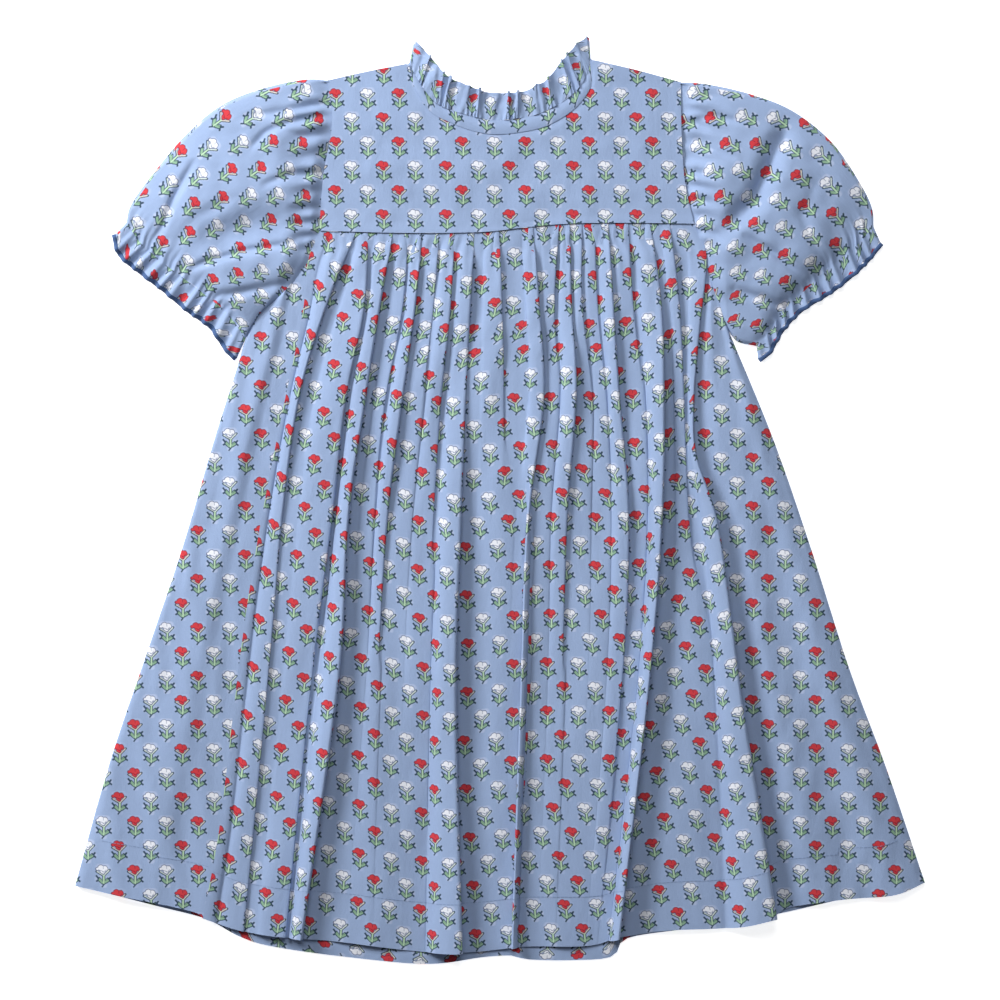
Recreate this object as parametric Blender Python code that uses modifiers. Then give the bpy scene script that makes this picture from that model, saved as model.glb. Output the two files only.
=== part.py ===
"""A child's smock dress, laid flat on its back: plain yoke, gathered skirt, puffed
sleeves with bound frills, and a gathered frill on a narrow neckband.

Frame: the dress lies in the XY plane, neck towards +Y, the back panels' undersides on
Z = 0. All sizes below are millimetres; MM turns them into metres.

Every piece is a wall of cloth: a grid of points on the cloth's outer side, which
Solidify thickens inwards. The front layers lie over the back layers, and at the
garment's edges a panel turns over with a small bend.
"""
import math

import bmesh
import bpy
from mathutils import Vector

MM = 0.001

# cloth and clearances
WALL = 1.2
SEAM_GAP = 0.3
CURVED_SEAM_GAP = 0.7
BINDING_GAP = 1.1
SIDE_SEAM_GAP = 1.0
BEND = 1.95
LAYER = 2.0 * BEND
BEND_STEPS = 3
YOKE_RISE = 5.2
SHOULDER_RISE = 3.0
# the shoulders' share of the yoke's half width, and how far up the yoke they start to fall
SHOULDER_SHARE = 0.36
SHOULDER_FALL_START = 0.55
# how finely a curve is sampled: the step that its direction is taken over, and the points
# of a curve down the dress
CURVE_STEP = 0.004
CURVE_SAMPLES = 60

# widths of the trims
BINDING_WIDTH = 3.0
BUTTON_DIAMETER = 8.0
BUTTON_TOP_DIAMETER = 7.5
BUTTON_THICKNESS = 2.0
BUTTON_UP_THE_BAND = 0.55
BACK_FRILL_SHORT = 2.5

# colours (red, green, blue, linear)
COTTON_BLUE = (0.262, 0.381, 0.610)
BINDING_NAVY = (0.030, 0.060, 0.180)
BUTTON_BLUE = (0.30, 0.42, 0.62)

# outlines seen from above: (x, y) of the points that each smooth curve passes
SHOULDER_LEFT = [(-112.5, 272.8), (-86.5, 278.5), (-60.8, 283.4)]
SHOULDER_RIGHT = [(61.3, 285.8), (91.0, 279.0), (117.5, 271.8)]
NECK_SEAM = [(-60.5, 283.5), (-58.0, 274.5), (-52.5, 262.5), (-44.0, 251.5), (-30.5, 244.5),
             (-16.5, 239.5), (-1.5, 237.5), (19.5, 240.0), (32.5, 244.0), (47.0, 253.0),
             (57.0, 264.5), (60.5, 275.5), (61.0, 285.8)]
BAND_TOP = [(-59.0, 284.5), (-55.0, 275.5), (-48.5, 265.5), (-40.5, 257.0), (-29.5, 252.5),
            (-15.5, 248.5), (-1.5, 246.7), (19.0, 249.0), (31.0, 253.3), (42.5, 259.8),
            (51.5, 268.0), (57.0, 277.5), (59.0, 287.0)]
FRILL_TOP = [(-56.0, 299.0), (-49.5, 294.0), (-43.0, 285.5), (-34.0, 276.0), (-19.5, 268.5),
             (0.0, 264.5), (18.0, 266.5), (29.0, 273.0), (36.5, 281.5), (44.0, 290.5),
             (50.5, 297.5), (58.0, 302.0)]
YOKE_SEAM = [(-117.5, 175.0), (-63.5, 173.5), (-13.5, 174.0), (11.0, 176.5), (36.0, 179.0),
             (60.5, 180.0), (90.0, 180.0), (126.0, 179.5)]
ARMHOLE_LEFT = [(-112.5, 272.8), (-109.5, 254.0), (-110.0, 237.0), (-115.0, 210.0),
                (-117.5, 175.0)]
UNDERARM_SEAM_LEFT = [(-125.0, 154.5), (-138.5, 136.5), (-156.5, 123.0)]
ARMHOLE_RIGHT = [(117.5, 271.8), (118.0, 240.0), (120.0, 208.0), (126.0, 179.5)]
UNDERARM_SEAM_RIGHT = [(134.0, 159.0), (138.5, 140.0), (145.5, 119.0)]
SLEEVE_TOP_LEFT = [(-112.5, 272.8), (-127.0, 273.5), (-153.5, 268.0), (-180.0, 257.5),
                   (-203.0, 239.0), (-226.0, 212.0), (-240.0, 192.0), (-243.0, 180.5)]
SLEEVE_TOP_RIGHT = [(117.5, 271.8), (134.5, 270.5), (163.0, 264.0), (190.5, 253.0),
                    (216.0, 232.5), (234.0, 206.5), (242.0, 190.0), (243.0, 178.0)]
ELASTIC_LEFT = [(-243.0, 180.5), (-234.0, 167.5), (-219.5, 154.5), (-205.0, 143.5),
                (-190.0, 132.0), (-177.0, 121.0), (-165.5, 104.8)]
ELASTIC_RIGHT = [(243.0, 178.0), (231.5, 165.0), (218.5, 154.5), (203.0, 140.5),
                 (186.0, 125.0), (177.0, 112.0), (167.0, 100.0)]
FRILL_EDGE_LEFT = [(-252.5, 172.5), (-248.5, 159.0), (-234.5, 147.0), (-220.0, 136.0),
                   (-204.0, 122.5), (-189.0, 111.5), (-180.0, 98.0), (-173.0, 90.5)]
FRILL_EDGE_RIGHT = [(249.5, 166.0), (236.5, 151.0), (217.0, 135.0), (197.0, 122.5),
                    (184.0, 108.5), (177.0, 96.0), (169.5, 89.5)]
UNDERARM_EDGE_RIGHT = [(145.5, 119.0), (153.0, 104.0), (167.0, 100.0)]
SIDE_EDGE_LEFT = [(-156.5, 123.0), (-165.5, 104.8), (-170.0, 89.5), (-186.0, 39.0),
                  (-206.5, -30.5), (-230.0, -100.0), (-254.0, -171.0), (-276.5, -251.0)]
SIDE_EDGE_RIGHT = [(145.5, 119.0), (151.5, 103.5), (178.0, 39.0), (202.0, -30.5),
                   (227.5, -110.5), (251.0, -173.5), (276.5, -249.0)]
SIDE_SEAM_LEFT = [(-117.5, 175.0), (-125.0, 154.5), (-128.5, 119.0), (-140.5, 62.0),
                  (-154.0, -6.5), (-165.0, -73.0), (-173.5, -140.0), (-182.5, -214.5),
                  (-193.0, -272.0)]
SIDE_SEAM_RIGHT = [(126.0, 179.5), (134.0, 159.0), (129.0, 110.0), (125.5, 65.0),
                   (127.0, 29.0), (140.5, -13.0), (150.0, -79.5), (156.5, -130.0),
                   (168.5, -204.0), (179.0, -272.0)]
FRONT_HEM = [(-193.0, -272.0), (-174.0, -279.0), (-149.5, -283.5), (-104.0, -287.5),
             (-52.0, -293.8), (-17.0, -294.0), (17.0, -290.5), (58.0, -290.0),
             (78.0, -284.5), (108.5, -280.0), (152.0, -278.0), (179.0, -272.0)]
PANEL_HEM_LEFT = [(-193.0, -272.0), (-197.0, -268.0), (-226.0, -261.5), (-249.0, -257.0),
                  (-276.5, -251.0)]
PANEL_HEM_RIGHT = [(179.0, -272.0), (190.0, -265.0), (223.5, -260.0), (257.0, -257.0),
                   (276.5, -249.0)]
BACK_HEM = [(-276.5, -251.0), (-226.0, -264.0), (-193.0, -272.5), (-171.0, -284.0),
            (-149.5, -290.5), (-104.0, -297.0), (-48.0, -302.0), (-11.0, -297.5),
            (8.0, -296.5), (18.0, -299.0), (49.0, -299.5), (74.0, -297.0),
            (84.0, -285.0), (131.5, -278.0), (179.0, -270.0), (223.5, -260.0),
            (276.5, -249.0)]

# heights down the skirt at which the folds' places are given: yoke, chest, waist,
# hip, knee and hem, as shares of the skirt's length
FOLD_STATIONS = (0.0, 0.11, 0.237, 0.407, 0.633, 1.0)
# heights at which the folds' rises are given: yoke, waist, knee, hem
RISE_STATIONS = (0.0, 0.237, 0.633, 1.0)
# height of the skirt's troughs at the same four heights
TROUGH_RISE = (4.4, 3.9, 3.6, 3.4)
# each fold of the front skirt, left to right: where its crest runs (x at the six
# stations), how far the crest rises over the troughs (at four heights), and where the
# trough after it lies, as a share of the way to the next crest
FOLDS = (
    # crest x: yoke, chest, waist, hip, knee, hem      rise: yoke, waist, knee, hem   trough
    ((-117.5, -128, -140, -155, -171, -193), (0.8, 0.8, 2.0, 2.4), 0.35),
    ((-94, -114, -131, -142, -151, -167), (1.6, 3.6, 2.0, 2.4), 0.35),
    ((-86, -89, -101, -110, -123, -140), (1.6, 3.8, 3.0, 3.2), 0.40),
    ((-70, -79, -88, -99, -105, -129), (1.6, 4.6, 6.6, 7.4), 0.45),
    ((-60, -64, -75, -83, -89, -104), (1.2, 1.2, 1.2, 1.0), 0.35),
    ((-51, -56, -64, -74, -80, -86), (1.6, 4.2, 2.0, 1.6), 0.35),
    ((-40, -44, -51, -60, -66, -70), (1.2, 1.2, 0.8, 1.0), 0.35),
    ((-30, -33, -39, -44, -49, -54), (1.6, 2.4, 1.2, 1.4), 0.35),
    ((-17, -20, -23, -26, -29, -25), (1.6, 3.4, 5.6, 6.4), 0.45),
    ((-1, 1, 2, 0, -4, 0), (1.6, 2.2, 1.2, 1.0), 0.70),
    ((21, 25, 28, 18, 14, 8), (1.6, 3.4, 4.4, 5.4), 0.35),
    ((38, 35, 37, 31, 29, 22), (1.6, 1.4, 0.8, 1.0), 0.35),
    ((45, 46, 49, 43, 40, 34), (1.6, 4.2, 2.4, 1.4), 0.35),
    ((53, 53, 59, 57, 55, 45), (1.2, 1.8, 1.0, 0.8), 0.35),
    ((61, 63, 68, 70, 67, 54), (1.2, 1.4, 1.0, 0.8), 0.35),
    ((70, 73, 77, 83, 79, 62), (1.6, 4.2, 3.6, 1.4), 0.35),
    ((83, 86, 92, 94, 88, 69), (1.2, 1.2, 1.0, 0.8), 0.35),
    ((97, 104, 106, 105, 97, 77), (1.6, 5.2, 7.8, 8.6), 0.45),
    ((110, 116, 119, 122, 130, 126), (1.4, 2.2, 1.4, 1.2), 0.40),
    ((126.0, 129, 125, 140, 155, 179), (0.8, 2.2, 6.4, 7.0), 0.50),
)
FOLD_STEPS = (0.0, 0.16, 0.42, 0.72)
# the side seams start this share of the way down the skirt, at the armholes' feet
SEAM_START = 0.0455
SEAM_ROWS = 14

# folds of the side panels, from the side seam out to the edge: share of the way, and
# rise at yoke and hem
PANEL_FOLDS_LEFT = ((0.25, 0.4, 0.0), (0.45, 1.8, 1.6), (0.75, 0.6, 1.2))
PANEL_FOLDS_RIGHT = ((0.12, 0.0, -2.6), (0.32, 0.8, 1.6), (0.58, 1.0, -0.6), (0.8, 1.4, 2.6))

# the back's yoke seam stops this share of the way down each armhole's foot
ARMHOLE_FOOT_SHARE = 0.95

# gathers of the sleeves and frills: number of waves and their height
SLEEVE_GATHERS = 8
CUFF_GATHERS = 12
NECK_FRILL_WAVES = 13
SLEEVE_PUFF = 2.4
SLEEVE_GATHER_RISE = 0.7
CUFF_WAVE_RISE = 1.1
NECK_WAVE_RISE = 2.0
# along a sleeve, from armhole to elastic: where the puff is full, where it starts to fall,
# where the armhole's gathers end and where the elastic's start
PUFF_FULL = 0.25
PUFF_FALL_START = 0.75
TOP_GATHERS_END = 0.35
CUFF_GATHERS_START = 0.6

# steps of the neck's strips: along the front of the band, and along each half of the back
BAND_FRONT_STEPS = 30
NECK_BACK_STEPS = 9
BAND_CROWN = 0.3


def smooth_path(points, steps=6):
    """A smooth curve through the points, as a function of the share of its length."""
    knots = [Vector(p) for p in points]
    before = [2 * knots[0] - knots[1]] + knots
    after = knots[1:] + [2 * knots[-1] - knots[-2]]
    dense = []
    for i in range(len(knots) - 1):
        p0, p1, p2 = before[i], knots[i], knots[i + 1]
        p3 = after[i + 1]
        for k in range(steps):
            t = k / steps
            dense.append(0.5 * (2 * p1 + (p2 - p0) * t + (2 * p0 - 5 * p1 + 4 * p2 - p3) * t * t
                                + (3 * p1 - p0 - 3 * p2 + p3) * t ** 3))
    dense.append(knots[-1])
    run = [0.0]
    for a, b in zip(dense, dense[1:]):
        run.append(run[-1] + (b - a).length)

    def at(share):
        goal = min(max(share, 0.0), 1.0) * run[-1]
        k = 0
        while k < len(run) - 2 and run[k + 1] < goal:
            k += 1
        span = run[k + 1] - run[k]
        return dense[k].lerp(dense[k + 1], (goal - run[k]) / span if span else 0.0)

    at.length = run[-1]
    return at


def reverse(path):
    """The same curve, run from its other end."""
    def at(share):
        return path(1.0 - share)
    at.length = path.length
    return at


def moved_aside(path, distance):
    """The curve moved to its left by the distance."""
    def at(share):
        along = path(share + CURVE_STEP) - path(share - CURVE_STEP)
        return path(share) + Vector((-along.y, along.x)).normalized() * distance
    at.length = path.length
    return at


def joined(*pieces):
    """One curve from several, each with its own share of the parameter."""
    total = sum(share for _, share in pieces)

    def at(share):
        left = min(max(share, 0.0), 1.0) * total
        for path, part in pieces[:-1]:
            if left <= part:
                return path(left / part)
            left -= part
        return pieces[-1][0](left / pieces[-1][1])
    at.length = sum(path.length for path, _ in pieces)
    return at


def patch(start, end, low, high):
    """A surface patch in plan: start and end curves run along u, low and high along v."""
    def at(u, v):
        corner = ((1 - u) * (1 - v) * start(0.0) + u * (1 - v) * start(1.0)
                  + (1 - u) * v * end(0.0) + u * v * end(1.0))
        return (1 - v) * start(u) + v * end(u) + (1 - u) * low(v) + u * high(v) - corner
    return at


def ease(x):
    """A smooth step from 0 to 1."""
    x = min(max(x, 0.0), 1.0)
    return x * x * (3.0 - 2.0 * x)


def between(stations, values, t):
    """The value at t of a table given at the stations, with straight runs between them."""
    for k in range(len(stations) - 1):
        if t <= stations[k + 1]:
            share = (t - stations[k]) / (stations[k + 1] - stations[k])
            return values[k] + (values[k + 1] - values[k]) * share
    return values[-1]


def part_of(path, first, last):
    """The stretch of the curve between two shares of it."""
    def at(share):
        return path(first + (last - first) * share)
    at.length = path.length * abs(last - first)
    return at


def downward(points):
    """A curve that runs down the dress, as a function that gives its x at a height y."""
    path = smooth_path(points)
    samples = [path(k / CURVE_SAMPLES) for k in range(CURVE_SAMPLES + 1)]

    def at(y):
        for above, below in zip(samples, samples[1:]):
            if y >= below.y:
                break
        share = (above.y - y) / (above.y - below.y)
        return above.x + (below.x - above.x) * min(max(share, 0.0), 1.0)
    return at


def material(name, colour, roughness):
    """A plain finish in the piece's own colour."""
    finish = bpy.data.materials.new(name)
    finish.use_nodes = True
    shader = finish.node_tree.nodes["Principled BSDF"]
    shader.inputs["Base Color"].default_value = (*colour, 1.0)
    shader.inputs["Roughness"].default_value = roughness
    shader.inputs["Metallic"].default_value = 0.0
    return finish


def cloth(name, columns, rows, place, colour, turn_over=False, tube=False):
    """A wall of cloth: place(i, j) gives the outer side's points, in millimetres."""
    mesh_data = bmesh.new()
    bmesh.ops.create_grid(mesh_data, x_segments=columns, y_segments=rows, size=1.0)
    for index, vertex in enumerate(mesh_data.verts):
        i, j = index % (columns + 1), index // (columns + 1)
        vertex.co = Vector(place(i, j)) * MM
    if tube:
        bmesh.ops.remove_doubles(mesh_data, verts=mesh_data.verts, dist=0.00001)
    if turn_over:
        bmesh.ops.reverse_faces(mesh_data, faces=mesh_data.faces)
    mesh = bpy.data.meshes.new(name)
    mesh_data.to_mesh(mesh)
    mesh_data.free()
    mesh.shade_smooth()
    piece = bpy.data.objects.new(name, mesh)
    piece.data.materials.append(material(name + "_cloth", colour, 0.9))
    wall = piece.modifiers.new("wall", "SOLIDIFY")
    wall.thickness = WALL * MM
    wall.offset = -1.0
    wall.use_even_offset = True
    wall.thickness_clamp = 0.0
    COLLECTION.objects.link(piece)
    return piece


def seam_rise(share):
    """Height of the yoke seam's outer side along the yoke's width."""
    return YOKE_RISE - 0.4 * (2.0 * share - 1.0) ** 2


def fold_rise(index, t):
    """How far a fold's crest rises over the troughs, at t down the skirt."""
    return between(RISE_STATIONS, FOLDS[index][1], t)


def skirt_height(index, step, t):
    """Height of the front skirt's outer side between one crest and the next."""
    trough = between(RISE_STATIONS, TROUGH_RISE, t)
    rise = fold_rise(index, t)
    if index + 1 < len(FOLDS):
        valley = FOLDS[index][2]
        if step <= valley:
            rise *= 1.0 - ease(step / valley)
        else:
            rise = fold_rise(index + 1, t) * ease((step - valley) / (1.0 - valley))
    return trough + rise


def crest_lines():
    """The x of each fold's crest as a function of y; the first and last are the seams."""
    top = smooth_path(YOKE_SEAM)
    hem = smooth_path(FRONT_HEM)
    lines = []
    for crest_x, _, _ in FOLDS:
        upper = top(share_across(YOKE_SEAM, crest_x[0])).y
        lower = hem(share_across(FRONT_HEM, crest_x[-1])).y
        points = [(x, upper + (lower - upper) * t) for x, t in zip(crest_x, FOLD_STATIONS)]
        lines.append(downward(points))
    lines[0] = downward(SIDE_SEAM_LEFT)
    lines[-1] = downward(SIDE_SEAM_RIGHT)
    return lines


def share_across(outline, x):
    """How far x lies across an outline that runs from left to right."""
    return (x - outline[0][0]) / (outline[-1][0] - outline[0][0])


def build_skirt_front():
    """The gathered front of the skirt: a column of points down each crest and slope."""
    columns = len(FOLD_STEPS) * (len(FOLDS) - 1)
    top = smooth_path(YOKE_SEAM)
    hem = smooth_path(FRONT_HEM)
    crests = crest_lines()

    def place(i, j):
        t = SEAM_START + (1.0 - SEAM_START) * (j - 1) / SEAM_ROWS if j else 0.0
        index, sub = divmod(i, len(FOLD_STEPS))
        following = min(index + 1, len(FOLDS) - 1)
        step = FOLD_STEPS[sub] if following > index else 0.0

        def mixed(here, there):
            return here + (there - here) * step

        top_x = mixed(FOLDS[index][0][0], FOLDS[following][0][0])
        hem_x = mixed(FOLDS[index][0][-1], FOLDS[following][0][-1])
        upper = top(share_across(YOKE_SEAM, top_x)).y - 0.5 * SEAM_GAP
        lower = hem(share_across(FRONT_HEM, hem_x)).y
        y = upper + (lower - upper) * t
        x = mixed(crests[index](y), crests[following](y))
        x += 0.5 * SIDE_SEAM_GAP * ((i == 0) - (i == columns))
        height = skirt_height(index, step, t)
        if j == 0:
            height = max(height, seam_rise(share_across(YOKE_SEAM, top_x)) - 0.3)
        return x, y, height

    return cloth("skirt_front", columns, SEAM_ROWS + 1, place, COTTON_BLUE, turn_over=True)


def panel_rise(folds, share, t):
    """Extra height of a side panel, from its seam out to its edge."""
    stops = [0.0] + [fold[0] for fold in folds] + [1.0]
    rises = [0.0] + [fold[1] + (fold[2] - fold[1]) * t for fold in folds] + [0.0]
    for k in range(len(stops) - 1):
        if share <= stops[k + 1]:
            step = ease((share - stops[k]) / (stops[k + 1] - stops[k]))
            return rises[k] + (rises[k + 1] - rises[k]) * step
    return 0.0


def armhole_path(side):
    """The whole armhole seam of one side, from the shoulder down to the body's edge."""
    upper = smooth_path(ARMHOLE_LEFT if side < 0 else ARMHOLE_RIGHT)
    lower = smooth_path(UNDERARM_SEAM_LEFT if side < 0 else UNDERARM_SEAM_RIGHT)
    corner = straight(upper(1.0), lower(0.0))
    return joined(*[(path, path.length) for path in (upper, corner, lower)])


def build_skirt_back():
    """The back of the skirt with both side panels: one strip that turns at the edges."""
    panel_steps = 8
    armhole_steps = 3
    seam_steps = 8
    back_steps = 2 * armhole_steps + seam_steps
    columns = 2 * panel_steps + 2 * BEND_STEPS + back_steps
    rows = SEAM_ROWS
    edges = {-1: downward(SIDE_EDGE_LEFT), 1: downward(SIDE_EDGE_RIGHT)}
    armholes = {side: moved_aside(smooth_path(points), -side * 0.5 * CURVED_SEAM_GAP)
                for side, points in ((-1, UNDERARM_SEAM_LEFT), (1, UNDERARM_SEAM_RIGHT))}
    hems = {-1: smooth_path(PANEL_HEM_LEFT), 1: smooth_path(PANEL_HEM_RIGHT)}
    seam_points = {-1: SIDE_SEAM_LEFT, 1: SIDE_SEAM_RIGHT}
    seams = {side: downward(points) for side, points in seam_points.items()}
    folds = {-1: PANEL_FOLDS_LEFT, 1: PANEL_FOLDS_RIGHT}
    crest = {-1: 0, 1: len(FOLDS) - 1}

    def edge_point(side, t):
        y_top = armholes[side](1.0).y
        y_hem = hems[side](1.0).y
        y = y_top + (y_hem - y_top) * t
        return Vector((edges[side](y), y))

    def seam_height(side, y):
        top_y, hem_y = seam_points[side][0][1], seam_points[side][-1][1]
        return skirt_height(crest[side], 0.0, (top_y - y) / (top_y - hem_y))

    def panel_point(side, share, t):
        top = armholes[side](share)
        hem = hems[side](share)
        y = top.y + (hem.y - top.y) * t
        seam_x = seams[side](y) + side * 0.5 * SIDE_SEAM_GAP
        x = seam_x + (edge_point(side, t).x - seam_x) * share
        if t == 0.0:
            x = top.x
        start = seam_height(side, y)
        height = start + (LAYER - start) * ease(share)
        return Vector((x, y, height + panel_rise(folds[side], share, t)))

    feet = {side: part_of(armholes[side], 0.0, ARMHOLE_FOOT_SHARE) for side in (-1, 1)}
    back_top = joined((reverse(feet[-1]), armhole_steps),
                      (back_seam(-0.5 * CURVED_SEAM_GAP), seam_steps),
                      (feet[1], armhole_steps))
    back_plan = patch(back_top, smooth_path(BACK_HEM),
                      lambda t: edge_point(-1, t) + Vector((BEND, 0.0)),
                      lambda t: edge_point(1, t) - Vector((BEND, 0.0)))

    def bend_point(side, turn, t):
        edge = edge_point(side, t)
        angle = math.pi * (0.5 - turn)
        return Vector((edge.x + side * BEND * (math.cos(angle) - 1.0), edge.y,
                       BEND + BEND * math.sin(angle)))

    def place(i, j):
        t = j / rows
        last_panel = 1.0 - 0.5 / panel_steps
        if i <= panel_steps:
            return panel_point(-1, last_panel * i / panel_steps, t)
        i -= panel_steps
        if i < BEND_STEPS:
            return bend_point(-1, i / BEND_STEPS, t)
        i -= BEND_STEPS
        if i <= back_steps:
            point = back_plan(i / back_steps, t)
            return point.x, point.y, 0.0
        i -= back_steps
        if i < BEND_STEPS:
            return bend_point(1, 1.0 - i / BEND_STEPS, t)
        i -= BEND_STEPS
        return panel_point(1, last_panel * (panel_steps - i) / panel_steps, t)

    return cloth("skirt_back", columns, rows, place, COTTON_BLUE)


def back_seam(offset):
    """The back's yoke seam, a straight run between the armholes' corners."""
    start, end = Vector(YOKE_SEAM[0]), Vector(YOKE_SEAM[-1])
    return moved_aside(straight(start, end), offset)


def yoke_top_path():
    """The yoke's upper edge: shoulder, neck seam, shoulder."""
    neck = moved_aside(smooth_path(NECK_SEAM), -CURVED_SEAM_GAP)
    return joined((smooth_path(SHOULDER_LEFT), 4.0), (neck, 16.0),
                  (smooth_path(SHOULDER_RIGHT), 4.0))


def yoke_patch(seam):
    """The yoke in plan: u across, v from the yoke seam up to the neck."""
    left = moved_aside(reverse(smooth_path(ARMHOLE_LEFT)), -0.5 * CURVED_SEAM_GAP)
    right = moved_aside(reverse(smooth_path(ARMHOLE_RIGHT)), 0.5 * CURVED_SEAM_GAP)
    return patch(seam, yoke_top_path(), left, right)


def yoke_height(u, v):
    """Height of the front yoke's outer side: low along the shoulders."""
    inward = ease((1.0 - abs(2.0 * u - 1.0)) / SHOULDER_SHARE)
    low = SHOULDER_RISE + (YOKE_RISE - SHOULDER_RISE) * inward
    fall = ease((v - SHOULDER_FALL_START) / (1.0 - SHOULDER_FALL_START))
    return seam_rise(u) + (low - seam_rise(u)) * fall


def build_yoke_front():
    """The plain front yoke."""
    plan = yoke_patch(moved_aside(smooth_path(YOKE_SEAM), 0.5 * SEAM_GAP))
    columns, rows = 24, 6

    def place(i, j):
        u, v = i / columns, j / rows
        point = plan(u, v)
        return point.x, point.y, yoke_height(u, v)

    return cloth("yoke_front", columns, rows, place, COTTON_BLUE)


def build_yoke_backs():
    """The two halves of the back yoke, flat on the surface, parted at the centre."""
    plan = yoke_patch(back_seam(0.5 * CURVED_SEAM_GAP))
    columns, rows = 12, 6
    opening = 0.5 * CURVED_SEAM_GAP / (YOKE_SEAM[-1][0] - YOKE_SEAM[0][0])
    for side, name in ((-1, "yoke_back_left"), (1, "yoke_back_right")):
        def place(i, j, side=side):
            u = 0.5 + side * max(0.5 * i / columns, opening)
            point = plan(u, j / rows)
            return point.x, point.y, 0.0

        cloth(name, columns, rows, place, COTTON_BLUE, turn_over=side > 0)


def tube_loop(width, top_height):
    """Section of a flattened tube: (distance across, height) all round."""
    top_steps = 2 * CUFF_GATHERS
    back_steps = CUFF_GATHERS
    span = width - 2 * BEND
    loop = []
    for k in range(top_steps + 1):
        across = BEND + span * k / top_steps
        loop.append((across, top_height(across / width)))
    for k in range(1, BEND_STEPS):
        angle = math.pi * (0.5 - k / BEND_STEPS)
        loop.append((width - BEND + BEND * math.cos(angle), BEND + BEND * math.sin(angle)))
    for k in range(back_steps + 1):
        loop.append((width - BEND - span * k / back_steps, 0.0))
    for k in range(1, BEND_STEPS):
        angle = math.pi * (0.5 + k / BEND_STEPS)
        loop.append((BEND + BEND * math.cos(angle), BEND - BEND * math.sin(angle)))
    loop.append(loop[0])
    return loop


def build_tube(name, plan, rows, crown, colour, turn_over):
    """A flattened tube over a plan patch: u across it, v along it."""
    def loop_at(v):
        width = (plan(1.0, v) - plan(0.0, v)).length
        return width, tube_loop(width, lambda u: LAYER + crown(u, v))

    loops = [loop_at(j / rows) for j in range(rows + 1)]
    columns = len(loops[0][1]) - 1

    def place(i, j):
        width, loop = loops[j]
        across, height = loop[i]
        point = plan(across / width, j / rows)
        return point.x, point.y, height

    return cloth(name, columns, rows, place, colour, turn_over=turn_over, tube=True)


def shifted(points, dx):
    """The points moved along x."""
    return [(x + dx, y) for x, y in points]


def build_sleeve(side, label):
    """One puffed sleeve with its frill and binding."""
    elastic = ELASTIC_LEFT if side < 0 else ELASTIC_RIGHT
    outer = SLEEVE_TOP_LEFT if side < 0 else SLEEVE_TOP_RIGHT
    underarm = SIDE_EDGE_LEFT[:2] if side < 0 else UNDERARM_EDGE_RIGHT
    frill_edge = FRILL_EDGE_LEFT if side < 0 else FRILL_EDGE_RIGHT
    clear = side * 0.5 * CURVED_SEAM_GAP
    body_clear = side * 2.0 * CURVED_SEAM_GAP
    start = moved_aside(armhole_path(side), clear)
    end = smooth_path(elastic[:-1] + shifted(elastic[-1:], body_clear))
    low = smooth_path(shifted(outer[:1], clear) + outer[1:])
    high = smooth_path(shifted(underarm, body_clear))
    plan = patch(start, end, low, high)

    def crown(u, v):
        body = SLEEVE_PUFF * math.sin(math.pi * u) ** 0.6 * ease(v / PUFF_FULL + 0.5)
        body *= 1.0 - 0.5 * ease((v - PUFF_FALL_START) / (1.0 - PUFF_FALL_START))
        near_top = 1.0 - ease(v / TOP_GATHERS_END)
        near_cuff = ease((v - CUFF_GATHERS_START) / (1.0 - CUFF_GATHERS_START))
        gathers = near_top * math.cos(2 * math.pi * SLEEVE_GATHERS * u)
        gathers += near_cuff * math.cos(2 * math.pi * CUFF_GATHERS * u)
        return body + SLEEVE_GATHER_RISE * gathers * ease(6 * u) * ease(6 * (1 - u))

    build_tube("sleeve_" + label, plan, 8, crown, COTTON_BLUE, turn_over=side < 0)

    edge = smooth_path(frill_edge)
    frill_start = moved_aside(end, side * CURVED_SEAM_GAP)
    frill_end = moved_aside(edge, -side * (BINDING_WIDTH + BINDING_GAP))
    frill_plan = patch(frill_start, frill_end, straight(frill_start(0.0), frill_end(0.0)),
                       straight(frill_start(1.0), frill_end(1.0)))

    def frill_crown(u, v):
        waves = 0.5 - 0.5 * math.cos(2 * math.pi * CUFF_GATHERS * u)
        return CUFF_WAVE_RISE * waves * (0.5 + 0.5 * v)

    build_tube("cuff_frill_" + label, frill_plan, 2, frill_crown, COTTON_BLUE,
               turn_over=side < 0)

    bind_start = moved_aside(edge, -side * BINDING_WIDTH)
    bind_plan = patch(bind_start, edge, straight(bind_start(0.0), edge(0.0)),
                      straight(bind_start(1.0), edge(1.0)))
    build_tube("cuff_binding_" + label, bind_plan, 1, lambda u, v: frill_crown(u, 1.0),
               BINDING_NAVY, turn_over=side < 0)


def straight(a, b):
    """A straight run between two points."""
    return smooth_path([tuple(a), tuple(b)])


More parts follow.
